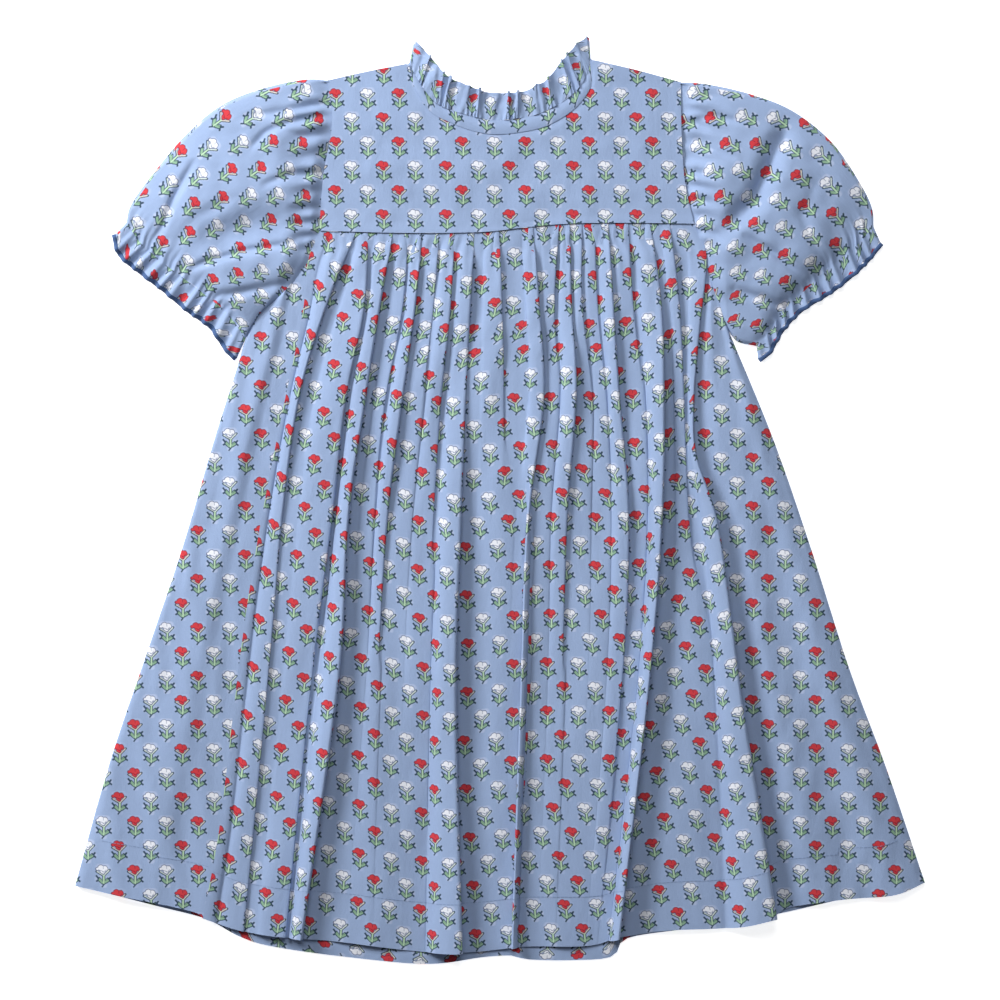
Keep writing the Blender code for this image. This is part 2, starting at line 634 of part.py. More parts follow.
def neck_strip(name, seam, top, front_steps, back_steps, rows, height, back_top, colour):
    """A strip round the neck: back half, bend at each shoulder, front, and back again."""
    end_share = BEND / seam.length
    half_gap = (0.5 * BUTTON_DIAMETER + CURVED_SEAM_GAP) / seam.length
    stops = []
    for k in range(back_steps + 1):
        stops.append((0.5 - half_gap - (0.5 - half_gap - end_share) * k / back_steps, "back", 0.0))
    for k in range(1, BEND_STEPS):
        stops.append((0.0, "bend", k / BEND_STEPS))
    for k in range(front_steps + 1):
        stops.append((end_share + (1 - 2 * end_share) * k / front_steps, "front", 0.0))
    for k in range(1, BEND_STEPS):
        stops.append((1.0, "bend", 1.0 - k / BEND_STEPS))
    for k in range(back_steps + 1):
        stops.append((1 - end_share - (0.5 - half_gap - end_share) * k / back_steps, "back", 0.0))

    def place(i, j):
        share, where, turn = stops[i]
        v = j / rows
        if where == "bend":
            angle = math.pi * (turn - 0.5)
            reach = end_share * (1.0 - math.cos(angle))
            share = reach if share < 0.5 else 1.0 - reach
            z = BEND + BEND * math.sin(angle)
        elif where == "front":
            z = height(share, v)
        else:
            z = 0.0
        upper = top(share) if where == "front" else back_top(share)
        if where == "bend":
            upper = back_top(share).lerp(top(share), turn)
        point = seam(share).lerp(upper, v)
        return point.x, point.y, z

    return cloth(name, len(stops) - 1, rows, place, colour)


def build_neck():
    """The neckband and the gathered frill on it."""
    seam = smooth_path(NECK_SEAM)
    band_top = smooth_path(BAND_TOP)

    def band_height(share, v):
        inward = ease(8 * share) * ease(8 * (1 - share))
        return LAYER + (YOKE_RISE - LAYER) * inward + BAND_CROWN * v * inward

    neck_strip("neckband", seam, band_top, BAND_FRONT_STEPS, NECK_BACK_STEPS, 1, band_height,
               band_top, COTTON_BLUE)

    frill_seam = moved_aside(band_top, SEAM_GAP)
    frill_top = smooth_path(FRILL_TOP)
    lowered = moved_aside(frill_top, -BACK_FRILL_SHORT)

    def frill_height(share, v):
        inward = ease(8 * share) * ease(8 * (1 - share))
        waves = 0.5 - 0.5 * math.cos(2 * math.pi * NECK_FRILL_WAVES * share)
        return band_height(share, 1.0) + NECK_WAVE_RISE * waves * (0.25 + 0.75 * v) * inward

    neck_strip("neck_frill", frill_seam, frill_top, 4 * NECK_FRILL_WAVES, NECK_BACK_STEPS, 2,
               frill_height, lowered, COTTON_BLUE)


def build_button():
    """The button between the neckband's ends, at the centre back."""
    seam = smooth_path(NECK_SEAM)(0.5)
    top = smooth_path(BAND_TOP)(0.5)
    centre = seam.lerp(top, BUTTON_UP_THE_BAND)
    disc = bmesh.new()
    bmesh.ops.create_cone(disc, cap_ends=True, segments=24, radius1=0.5 * BUTTON_DIAMETER * MM,
                          radius2=0.5 * BUTTON_TOP_DIAMETER * MM, depth=BUTTON_THICKNESS * MM)
    for vertex in disc.verts:
        vertex.co += Vector((centre.x, centre.y, 0.5 * BUTTON_THICKNESS)) * MM
    mesh = bpy.data.meshes.new("back_button")
    disc.to_mesh(mesh)
    disc.free()
    button = bpy.data.objects.new("back_button", mesh)
    button.data.materials.append(material("button_resin", BUTTON_BLUE, 0.35))
    COLLECTION.objects.link(button)


for old in list(bpy.data.objects):
    bpy.data.objects.remove(old, do_unlink=True)
COLLECTION = bpy.data.collections.new("smock_dress")
bpy.context.scene.collection.children.link(COLLECTION)

build_skirt_front()
build_skirt_back()
build_yoke_front()
build_yoke_backs()
build_sleeve(-1, "left")
build_sleeve(1, "right")
build_neck()
build_button()
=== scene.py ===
"""Looks of a child's cotton smock dress that lies flat on its back.

The dress lies in the XY plane, neck towards +Y, on the surface Z = 0. Sizes in the tables
and functions are millimetres, and MM turns them into metres. Every piece of cloth is a thin
shell on the form of its solid: a grid whose points carry their place on the flat cut cloth
in the UV map "cloth", which the flower print, the weave and the creases read.
"""

import math

import bmesh
import bpy
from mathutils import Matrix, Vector, noise


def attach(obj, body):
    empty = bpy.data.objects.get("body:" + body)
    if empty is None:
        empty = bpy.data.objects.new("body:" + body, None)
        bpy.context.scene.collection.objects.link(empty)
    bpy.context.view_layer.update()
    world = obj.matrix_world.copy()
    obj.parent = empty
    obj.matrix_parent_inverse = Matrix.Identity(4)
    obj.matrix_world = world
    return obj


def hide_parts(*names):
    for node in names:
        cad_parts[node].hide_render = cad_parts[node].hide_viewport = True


MM = 0.001
TURN = 2.0 * math.pi

# the cloth
CLOTH_THICKNESS = 0.35
TAPE_THICKNESS = 0.9
BEND = 1.95
LAYER = 2.0 * BEND
BEND_STEPS = 6
PANEL_STEPS = 56
YOKE_RISE = 5.2
SHOULDER_RISE = 3.0
HEM_DEPTH = 29.0
SEAM_GAP = 0.3
CURVED_SEAM_GAP = 0.7
SEAM_LAP = 1.0
SEAM_DROP = 0.9
BINDING_WIDTH = 3.0
BUTTON_DIAMETER = 8.0
BUTTON_THICKNESS = 2.0
BACK_FRILL_SHORT = 2.5
STITCH_PITCH = 2.6
STITCH_LENGTH = 1.9
THREAD_RADIUS = 0.14
# angle in degrees over which an edge is shaded crisp, such as a shell's rim
RIM_ANGLE = 75.0
FLOOR_GLOW = 0.78
WORLD_STRENGTH = 0.12

# sizes that the pieces are cut to: width and length
SKIRT_SEEN_LENGTH = 467.0
SKIRT_FRONT_CUT = 455.0

# outlines seen from above: (x, y) of the points that each smooth curve passes
SHOULDER_LEFT = [(-112.5, 272.8), (-86.5, 278.5), (-60.8, 283.4)]
SHOULDER_RIGHT = [(61.3, 285.8), (91.0, 279.0), (117.5, 271.8)]
NECK_SEAM = [(-60.5, 283.5), (-58.0, 274.5), (-52.5, 262.5), (-44.0, 251.5), (-30.5, 244.5),
             (-16.5, 239.5), (-1.5, 237.5), (19.5, 240.0), (32.5, 244.0), (47.0, 253.0),
             (57.0, 264.5), (60.5, 275.5), (61.0, 285.8)]
BAND_TOP = [(-59.0, 284.5), (-55.0, 275.5), (-48.5, 265.5), (-40.5, 257.0), (-29.5, 252.5),
            (-15.5, 248.5), (-1.5, 246.7), (19.0, 249.0), (31.0, 253.3), (42.5, 259.8),
            (51.5, 268.0), (57.0, 277.5), (59.0, 287.0)]
FRILL_TOP = [(-56.0, 299.0), (-49.5, 294.0), (-43.0, 285.5), (-34.0, 276.0), (-19.5, 268.5),
             (0.0, 264.5), (18.0, 266.5), (29.0, 273.0), (36.5, 281.5), (44.0, 290.5),
             (50.5, 297.5), (58.0, 302.0)]
YOKE_SEAM = [(-117.5, 175.0), (-63.5, 173.5), (-13.5, 174.0), (11.0, 176.5), (36.0, 179.0),
             (60.5, 180.0), (90.0, 180.0), (126.0, 179.5)]
ARMHOLE_LEFT = [(-112.5, 272.8), (-109.5, 254.0), (-110.0, 237.0), (-115.0, 210.0),
                (-117.5, 175.0)]
UNDERARM_SEAM_LEFT = [(-125.0, 154.5), (-138.5, 136.5), (-156.5, 123.0)]
ARMHOLE_RIGHT = [(117.5, 271.8), (118.0, 240.0), (120.0, 208.0), (126.0, 179.5)]
UNDERARM_SEAM_RIGHT = [(134.0, 159.0), (138.5, 140.0), (145.5, 119.0)]
SLEEVE_TOP_LEFT = [(-112.5, 272.8), (-127.0, 273.5), (-153.5, 268.0), (-180.0, 257.5),
                   (-203.0, 239.0), (-226.0, 212.0), (-240.0, 192.0), (-243.0, 180.5)]
SLEEVE_TOP_RIGHT = [(117.5, 271.8), (134.5, 270.5), (163.0, 264.0), (190.5, 253.0),
                    (216.0, 232.5), (234.0, 206.5), (242.0, 190.0), (243.0, 178.0)]
ELASTIC_LEFT = [(-243.0, 180.5), (-234.0, 167.5), (-219.5, 154.5), (-205.0, 143.5),
                (-190.0, 132.0), (-177.0, 121.0), (-165.5, 104.8)]
ELASTIC_RIGHT = [(243.0, 178.0), (231.5, 165.0), (218.5, 154.5), (203.0, 140.5),
                 (186.0, 125.0), (177.0, 112.0), (167.0, 100.0)]
FRILL_EDGE_LEFT = [(-252.5, 172.5), (-248.5, 159.0), (-234.5, 147.0), (-220.0, 136.0),
                   (-204.0, 122.5), (-189.0, 111.5), (-180.0, 98.0), (-173.0, 90.5)]
FRILL_EDGE_RIGHT = [(249.5, 166.0), (236.5, 151.0), (217.0, 135.0), (197.0, 122.5),
                    (184.0, 108.5), (177.0, 96.0), (169.5, 89.5)]
UNDERARM_EDGE_RIGHT = [(145.5, 119.0), (153.0, 104.0), (167.0, 100.0)]
SIDE_EDGE_LEFT = [(-156.5, 123.0), (-165.5, 104.8), (-170.0, 89.5), (-186.0, 39.0),
                  (-206.5, -30.5), (-230.0, -100.0), (-254.0, -171.0), (-276.5, -251.0)]
SIDE_EDGE_RIGHT = [(145.5, 119.0), (151.5, 103.5), (178.0, 39.0), (202.0, -30.5),
                   (227.5, -110.5), (251.0, -173.5), (276.5, -249.0)]
SIDE_SEAM_LEFT = [(-117.5, 175.0), (-125.0, 154.5), (-128.5, 119.0), (-140.5, 62.0),
                  (-154.0, -6.5), (-165.0, -73.0), (-173.5, -140.0), (-182.5, -214.5),
                  (-193.0, -272.0)]
SIDE_SEAM_RIGHT = [(126.0, 179.5), (134.0, 159.0), (129.0, 110.0), (125.5, 65.0),
                   (127.0, 29.0), (140.5, -13.0), (150.0, -79.5), (156.5, -130.0),
                   (168.5, -204.0), (179.0, -272.0)]
FRONT_HEM = [(-193.0, -272.0), (-174.0, -279.0), (-149.5, -283.5), (-104.0, -287.5),
             (-52.0, -293.8), (-17.0, -294.0), (17.0, -290.5), (58.0, -290.0),
             (78.0, -284.5), (108.5, -280.0), (152.0, -278.0), (179.0, -272.0)]
PANEL_HEM_LEFT = [(-193.0, -272.0), (-197.0, -268.0), (-226.0, -261.5), (-249.0, -257.0),
                  (-276.5, -251.0)]
PANEL_HEM_RIGHT = [(179.0, -272.0), (190.0, -265.0), (223.5, -260.0), (257.0, -257.0),
                   (276.5, -249.0)]
BACK_HEM = [(-276.5, -251.0), (-226.0, -264.0), (-193.0, -272.5), (-171.0, -284.0),
            (-149.5, -290.5), (-104.0, -297.0), (-48.0, -302.0), (-11.0, -297.5),
            (8.0, -296.5), (18.0, -299.0), (49.0, -299.5), (74.0, -297.0),
            (84.0, -285.0), (131.5, -278.0), (179.0, -270.0), (223.5, -260.0),
            (276.5, -249.0)]

# heights down the skirt at which the folds' places are given: yoke, chest, waist,
# hip, knee and hem, as shares of the skirt's length
FOLD_STATIONS = (0.0, 0.11, 0.237, 0.407, 0.633, 1.0)
# heights at which the folds' rises are given: yoke, waist, knee, hem
RISE_STATIONS = (0.0, 0.237, 0.633, 1.0)
# height of the skirt's troughs at the same four heights
TROUGH_RISE = (4.2, 3.4, 3.0, 2.8)
# each fold of the front skirt, left to right: where its crest runs (x at the six
# stations), how far the crest rises over the troughs (at four heights), and where the
# trough after it lies, as a share of the way to the next crest
FOLDS = (
    # crest x: yoke, chest, waist, hip, knee, hem      rise: yoke, waist, knee, hem   trough
    ((-117.5, -128, -140, -155, -171, -193), (0.8, 0.8, 2.0, 2.4), 0.35),
    ((-94, -114, -131, -142, -151, -167), (2.8, 4.8, 1.6, 1.8), 0.30),
    ((-86, -89, -101, -110, -123, -140), (2.6, 5.2, 2.0, 2.4), 0.22),
    ((-70, -79, -88, -99, -105, -129), (2.4, 6.0, 9.8, 10.6), 0.40),
    ((-60, -64, -75, -83, -89, -104), (2.0, 1.5, 0.2, 0.0), 0.20),
    ((-51, -56, -64, -74, -80, -86), (2.6, 5.2, 0.7, 0.1), 0.20),
    ((-40, -44, -51, -60, -66, -70), (2.1, 1.0, 0.1, 0.0), 0.20),
    ((-30, -33, -39, -44, -49, -54), (2.6, 2.2, 0.2, 0.1), 0.20),
    ((-17, -20, -23, -26, -29, -25), (2.6, 4.2, 8.4, 9.4), 0.36),
    ((-1, 1, 2, 0, -4, 0), (2.4, 1.5, 0.2, 0.0), 0.60),
    ((21, 25, 28, 18, 14, 8), (2.6, 3.6, 6.0, 7.0), 0.28),
    ((38, 35, 37, 31, 29, 22), (2.3, 0.8, 0.1, 0.0), 0.20),
    ((45, 46, 49, 43, 40, 34), (2.6, 4.8, 0.9, 0.1), 0.20),
    ((53, 53, 59, 57, 55, 45), (2.0, 1.0, 0.1, 0.0), 0.20),
    ((61, 63, 68, 70, 67, 54), (2.1, 1.0, 0.1, 0.0), 0.20),
    ((70, 73, 77, 83, 79, 62), (2.6, 5.0, 1.6, 0.1), 0.22),
    ((83, 86, 92, 94, 88, 69), (2.1, 1.0, 0.1, 0.0), 0.20),
    ((97, 104, 106, 105, 97, 77), (2.6, 6.8, 11.0, 11.6), 0.46),
    ((110, 116, 119, 122, 130, 126), (2.1, 2.0, 0.8, 0.8), 0.40),
    ((126.0, 129, 125, 140, 155, 179), (0.8, 3.2, 9.2, 10.0), 0.50),
)
# the crest whose cloth lies over towards the left below the waist
TURNED_FOLD = 10
# the shape of a fold's side, from its crest to the trough: share of the way, share of
# the crest's rise, how far the cloth is tucked back under the crest, and the lip over it
STEEP_SIDE = ((0.0, 1.0, 0.0, 0.0), (0.0, 0.62, 0.0, 1.0), (0.0, 0.30, -0.5, 0.5),
              (0.0, 0.08, -1.0, 0.0), (0.12, 0.0, -0.4, 0.0))
SOFT_SIDE = ((0.0, 1.0, 0.0, 0.0), (0.20, 0.97, 0.0, 0.0), (0.44, 0.88, 0.0, 0.0),
             (0.68, 0.68, 0.0, 0.0), (0.87, 0.34, 0.0, 0.0))
LIP = 0.8

# folds of the side panels, from the side seam out to the edge: share of the way, and
# rise at yoke and hem
PANEL_FOLDS_LEFT = ((0.25, 0.4, 0.0), (0.45, 2.4, 2.2), (0.75, 0.6, 1.2))
PANEL_FOLDS_RIGHT = ((0.10, -0.6, -2.4), (0.32, 1.0, 2.2), (0.58, 1.0, -0.9), (0.8, 1.6, 3.4))

# gathers of the sleeves and frills
SLEEVE_GATHERS = 8
CUFF_GATHERS = 12
NECK_FRILL_WAVES = 13

# where the print starts on the yoke
YOKE_PRINT = (34.2, -0.6)
# the sleeves' print turns round a pivot (x and y for the right sleeve) at this radius
PRINT_PIVOT = (20.0, 20.0)
PRINT_RADIUS = 240.0
# height of the body's edge along the armhole, from the shoulder to the underarm
SEAM_SHARES = (0.0, 0.4, 0.62, 0.8, 1.0)
SEAM_RISES = (3.0, 3.9, 4.9, 4.6, 3.9)

# creases of the sleeves: the line they follow, depth (below nought for a ridge), width
SLEEVE_CREASES_LEFT = (
    (((-199.5, 218.4), (-211.9, 195.7), (-219.7, 176.2), (-230.1, 157.3)), 2.8, 2.4),
    (((-112.0, 257.5), (-142.0, 252.5), (-165.1, 249.0)), 2.2, 2.4),
    (((-114.0, 251.0), (-135.0, 246.0), (-152.0, 239.0), (-161.0, 229.0)), 2.4, 2.2),
    (((-112.0, 237.0), (-127.0, 236.0), (-141.0, 240.0)), 1.4, 2.2),
    (((-115.0, 212.6), (-134.0, 212.0), (-152.0, 204.8)), 2.2, 2.4),
    (((-136.0, 181.0), (-165.0, 174.0), (-195.0, 167.0)), 5.0, 13.0),
    (((-134.0, 167.0), (-166.0, 161.5), (-190.0, 154.5), (-212.0, 146.0)), 2.6, 2.4),
    (((-139.8, 140.5), (-172.0, 134.0), (-200.0, 130.0)), 2.4, 3.0),
    (((-172.0, 196.0), (-196.0, 184.0), (-210.0, 168.0)), 1.4, 4.0),
)
SLEEVE_CREASES_RIGHT = (
    (((119.0, 259.0), (132.0, 262.0), (144.3, 264.6), (157.3, 262.6)), 2.8, 2.2),
    (((119.5, 246.0), (138.0, 249.0), (156.0, 246.0)), 2.0, 2.4),
    (((120.0, 226.0), (136.0, 228.0), (150.0, 222.0)), 1.8, 2.4),
    (((190.5, 252.9), (175.5, 217.8), (165.8, 195.0), (143.0, 172.3)), 6.0, 7.0),
    (((186.0, 240.0), (172.5, 212.0), (160.0, 190.0)), 2.0, 2.2),
    (((159.3, 171.0), (178.0, 160.0), (195.0, 146.3)), 2.8, 2.6),
    (((152.8, 136.5), (172.0, 130.0), (188.5, 122.2)), 2.6, 3.0),
    (((205.0, 205.0), (196.0, 184.0), (206.0, 160.0)), 1.6, 4.0),
)


# curves and surfaces in plan


def smooth_path(points, steps=6):
    """A smooth curve through the points, as a function of the share of its length."""
    knots = [Vector(p) for p in points]
    before = [2 * knots[0] - knots[1]] + knots
    after = knots[1:] + [2 * knots[-1] - knots[-2]]
    dense = []
    for i in range(len(knots) - 1):
        p0, p1, p2 = before[i], knots[i], knots[i + 1]
        p3 = after[i + 1]
        for k in range(steps):
            t = k / steps
            dense.append(0.5 * (2 * p1 + (p2 - p0) * t + (2 * p0 - 5 * p1 + 4 * p2 - p3) * t * t
                                + (3 * p1 - p0 - 3 * p2 + p3) * t ** 3))
    dense.append(knots[-1])
    run = [0.0]
    for a, b in zip(dense, dense[1:]):
        run.append(run[-1] + (b - a).length)

    def at(share):
        goal = min(max(share, 0.0), 1.0) * run[-1]
        k = 0
        while k < len(run) - 2 and run[k + 1] < goal:
            k += 1
        span = run[k + 1] - run[k]
        return dense[k].lerp(dense[k + 1], (goal - run[k]) / span if span else 0.0)

    at.length = run[-1]
    return at


def straight(a, b):
    """A straight run between two points."""
    return smooth_path([tuple(a), tuple(b)])


def reverse(path):
    """The same curve, run from its other end."""
    def at(share):
        return path(1.0 - share)
    at.length = path.length
    return at


def moved_aside(path, distance):
    """The curve moved to its left by the distance."""
    def at(share):
        step = 0.004
        along = path(share + step) - path(share - step)
        return path(share) + Vector((-along.y, along.x)).normalized() * distance
    at.length = path.length
    return at


def joined(*pieces):
    """One curve from several, each with its own share of the parameter."""
    total = sum(share for _, share in pieces)

    def at(share):
        left = min(max(share, 0.0), 1.0) * total
        for path, part in pieces[:-1]:
            if left <= part:
                return path(left / part)
            left -= part
        return pieces[-1][0](left / pieces[-1][1])
    at.length = sum(path.length for path, _ in pieces)
    return at


def part_of(path, first, last):
    """The stretch of the curve between two shares of it."""
    def at(share):
        return path(first + (last - first) * share)
    at.length = path.length * abs(last - first)
    return at


def patch(start, end, low, high):
    """A surface patch in plan: start and end curves run along u, low and high along v."""
    def at(u, v):
        corner = ((1 - u) * (1 - v) * start(0.0) + u * (1 - v) * start(1.0)
                  + (1 - u) * v * end(0.0) + u * v * end(1.0))
        return (1 - v) * start(u) + v * end(u) + (1 - u) * low(v) + u * high(v) - corner
    return at


def downward(points):
    """A curve that runs down the dress, as a function that gives its x at a height y."""
    path = smooth_path(points)
    samples = [path(k / 60) for k in range(61)]

    def at(y):
        for above, below in zip(samples, samples[1:]):
            if y >= below.y:
                break
        share = (above.y - y) / (above.y - below.y)
        return above.x + (below.x - above.x) * min(max(share, 0.0), 1.0)
    return at


def share_across(outline, x):
    """How far x lies across an outline that runs from left to right."""
    return (x - outline[0][0]) / (outline[-1][0] - outline[0][0])


def ease(x):
    """A smooth step from 0 to 1."""
    x = min(max(x, 0.0), 1.0)
    return x * x * (3.0 - 2.0 * x)


def between(stations, values, t):
    """The value at t of a table given at the stations."""
    for k in range(len(stations) - 1):
        if t <= stations[k + 1]:
            share = (t - stations[k]) / (stations[k + 1] - stations[k])
            return values[k] + (values[k + 1] - values[k]) * share
    return values[-1]


def ripple(x, y, seed):
    """Smooth unevenness from -1 to 1, the same on every run."""
    return noise.noise(Vector((x, y, seed)))


def crease_height(point, creases):
    """Height that the creases take from the cloth at a point."""
    height = 0.0
    for line, depth, width in creases:
        nearest = 1e9
        where = 0.0
        for k, (a, b) in enumerate(zip(line, line[1:])):
            a, b = Vector(a), Vector(b)
            run = b - a
            share = min(max((point - a).dot(run) / run.length_squared, 0.0), 1.0)
            distance = (point - a - run * share).length
            if distance < nearest:
                nearest = distance
                where = (k + share) / (len(line) - 1)
        fade = 0.35 + 0.65 * math.sin(math.pi * min(max(where, 0.02), 0.98)) ** 0.5
        height -= depth * fade * math.exp(-(nearest / width) ** 2)
    return height


# making cloth


def cloth(name, columns, rows, place, finish, thickness=CLOTH_THICKNESS, turn_over=False,
          tube=False):
    """A thin shell of cloth: place(i, j) gives a point's place and its place on the cut."""
    grid = bmesh.new()
    bmesh.ops.create_grid(grid, x_segments=columns, y_segments=rows, size=1.0)
    cut_map = grid.loops.layers.uv.new("cloth")
    cuts = {}
    for index, vertex in enumerate(grid.verts):
        i, j = index % (columns + 1), index // (columns + 1)
        spot, cut = place(i, j)
        vertex.co = Vector(spot) * MM
        cuts[vertex] = Vector(cut) * MM
    for face in grid.faces:
        for loop in face.loops:
            loop[cut_map].uv = cuts[loop.vert]
    if tube:
        bmesh.ops.remove_doubles(grid, verts=grid.verts, dist=0.00001)
    if turn_over:
        bmesh.ops.reverse_faces(grid, faces=grid.faces)
    mesh = bpy.data.meshes.new(name)
    grid.to_mesh(mesh)
    grid.free()
    mesh.shade_smooth()
    mesh.materials.append(finish)
    piece = bpy.data.objects.new(name, mesh)
    bpy.context.scene.collection.objects.link(piece)
    shell = piece.modifiers.new("shell", "SOLIDIFY")
    shell.thickness = thickness * MM
    shell.offset = -1.0
    rim = piece.modifiers.new("crisp rim", "EDGE_SPLIT")
    rim.split_angle = math.radians(RIM_ANGLE)
    return piece


def settle(piece, node):
    """The piece stands for its solid and rides with the dress."""
    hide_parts(node)
    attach(piece, "root")


# shader nodes


def put(tree, socket, value):
    """Link a socket, or set it to a constant."""
    if isinstance(value, bpy.types.NodeSocket):
        tree.links.new(value, socket)
    elif isinstance(value, (int, float)):
        socket.default_value = value
    else:
        filled = tuple(value)
        size = len(socket.default_value)
        socket.default_value = (filled + (1.0,) * size)[:size]


def figure(tree, operation, a, b=0.0, clamp=False):
    """A math node."""
    node = tree.nodes.new("ShaderNodeMath")
    node.operation = operation
    node.use_clamp = clamp
    put(tree, node.inputs[0], a)
    put(tree, node.inputs[1], b)
    return node.outputs[0]


def vector(tree, operation, a, b=(0.0, 0.0, 0.0), output=0):
    """A vector math node."""
    node = tree.nodes.new("ShaderNodeVectorMath")
    node.operation = operation
    put(tree, node.inputs[0], a)
    put(tree, node.inputs[1], b)
    return node.outputs[output]


def blended(tree, share, a, b, blend="MIX"):
    """A mix of two colours."""
    node = tree.nodes.new("ShaderNodeMix")
    node.data_type = "RGBA"
    node.blend_type = blend
    put(tree, node.inputs[0], share)
    put(tree, node.inputs[6], a)
    put(tree, node.inputs[7], b)
    return node.outputs[2]


def mottle(tree, place, scale, detail=2.0, roughness=0.5):
    """A noise texture's value."""
    node = tree.nodes.new("ShaderNodeTexNoise")
    node.inputs["Scale"].default_value = scale
    node.inputs["Detail"].default_value = detail
    node.inputs["Roughness"].default_value = roughness
    put(tree, node.inputs["Vector"], place)
    return node.outputs["Fac"]


def new_group(name, inputs, outputs):
    """A node group with named sockets."""
    tree = bpy.data.node_groups.new(name, "ShaderNodeTree")
    for label, kind in inputs:
        tree.interface.new_socket(label, in_out="INPUT", socket_type=kind)
    for label, kind in outputs:
        tree.interface.new_socket(label, in_out="OUTPUT", socket_type=kind)
    return tree, tree.nodes.new("NodeGroupInput"), tree.nodes.new("NodeGroupOutput")


# the flower print: pitch of the flowers along a row, and of the rows
FLOWER_PITCH = 20.6
ROW_PITCH = 15.75
# strokes of one flower, in painting order: layer, start x and y, end x and y, half width;
# millimetres from the middle of the flower
FLOWER_STROKES = (
    ("halo", -0.6, 5.4, 0.0, -6.0, 2.2),
    ("halo", -2.6, 5.0, 1.4, 5.0, 2.9),
    ("halo", 0.2, 0.4, 4.0, 3.8, 1.2),
    ("halo", -3.8, -2.0, 3.8, -2.2, 1.9),
    ("outline", -4.7, 2.75, -0.4, 0.15, 0.72),
    ("outline", 0.4, 0.25, 3.9, 3.85, 0.80),
    ("outline", 0.1, 0.6, 0.1, -4.9, 1.08),
    ("outline", 0.8, -4.4, -0.9, -7.2, 0.50),
    ("outline", -0.5, -4.6, -2.9, -2.6, 1.22),
    ("outline", -1.0, -3.4, -2.9, -1.5, 0.74),
    ("outline", 0.8, -4.3, 3.2, -2.9, 1.18),
    ("outline", 1.1, -3.1, 2.8, -1.7, 0.72),
    ("outline", -3.2, -2.0, -4.7, -0.2, 0.62),
    ("outline", -3.2, -2.7, -4.5, -3.4, 0.60),
    ("outline", 3.4, -2.5, 4.5, -1.0, 0.62),
    ("outline", 3.4, -2.9, 4.8, -3.7, 0.60),
    ("leaf", -0.8, -4.4, -2.7, -2.7, 0.66),
    ("leaf", 1.1, -4.1, 2.9, -3.0, 0.62),
    ("leaf", -1.2, -3.1, -2.6, -1.8, 0.26),
    ("leaf", 1.3, -2.9, 2.5, -2.0, 0.26),
    ("stem", 0.1, 0.3, 0.1, -4.8, 0.50),
    ("sepal", -4.3, 2.75, -0.5, 0.50, 0.30),
    ("sepal", 0.6, 0.65, 3.6, 3.65, 0.36),
    ("petal edge", -1.9, 5.1, -1.6, 4.9, 2.20),
    ("petal edge", 0.8, 4.8, 1.0, 4.6, 1.95),
    ("petal edge", -2.4, 4.7, -4.4, 4.35, 1.15),
    ("petal edge", -0.9, 4.0, -0.6, 3.1, 1.95),
    ("petal edge", -0.4, 2.8, -0.1, 1.7, 1.00),
    ("petal", -1.9, 5.1, -1.6, 4.9, 1.80),
    ("petal", 0.8, 4.8, 1.0, 4.6, 1.58),
    ("petal", -2.4, 4.75, -4.2, 4.4, 0.78),
    ("petal", -0.9, 4.0, -0.6, 3.2, 1.60),
    ("petal", -0.4, 2.9, -0.2, 2.1, 0.80),
    ("petal vein", -0.3, 5.9, -0.2, 4.6, 0.14),
    ("petal vein", -3.4, 3.8, -1.2, 3.1, 0.20),
    ("petal vein", -0.9, 2.9, 0.1, 2.4, 0.26),
    ("petal vein", 1.7, 4.0, 0.7, 2.9, 0.16),
)
# colours (red, green, blue, linear): on a red flower, and on a white one
PRINT_COLOURS = {
    "halo": ((0.44, 0.52, 0.76), (0.62, 0.68, 0.86)),
    "outline": ((0.020, 0.050, 0.085), (0.020, 0.050, 0.095)),
    "leaf": ((0.235, 0.400, 0.270), (0.235, 0.400, 0.270)),
    "stem": ((0.430, 0.620, 0.420), (0.430, 0.620, 0.420)),
    "sepal": ((0.640, 0.580, 0.520), (0.620, 0.700, 0.660)),
    "petal edge": ((0.120, 0.010, 0.040), (0.060, 0.085, 0.190)),
    "petal": ((0.580, 0.034, 0.046), (0.760, 0.780, 0.850)),
    "petal vein": ((0.200, 0.008, 0.030), (0.150, 0.200, 0.300)),
}
COTTON_BLUE = (0.288, 0.386, 0.598)
BINDING_NAVY = (0.045, 0.095, 0.230)
BUTTON_BLUE = (0.30, 0.42, 0.62)
THREAD_BLUE = (0.21, 0.29, 0.47)
EDGE_BLUR = 0.22


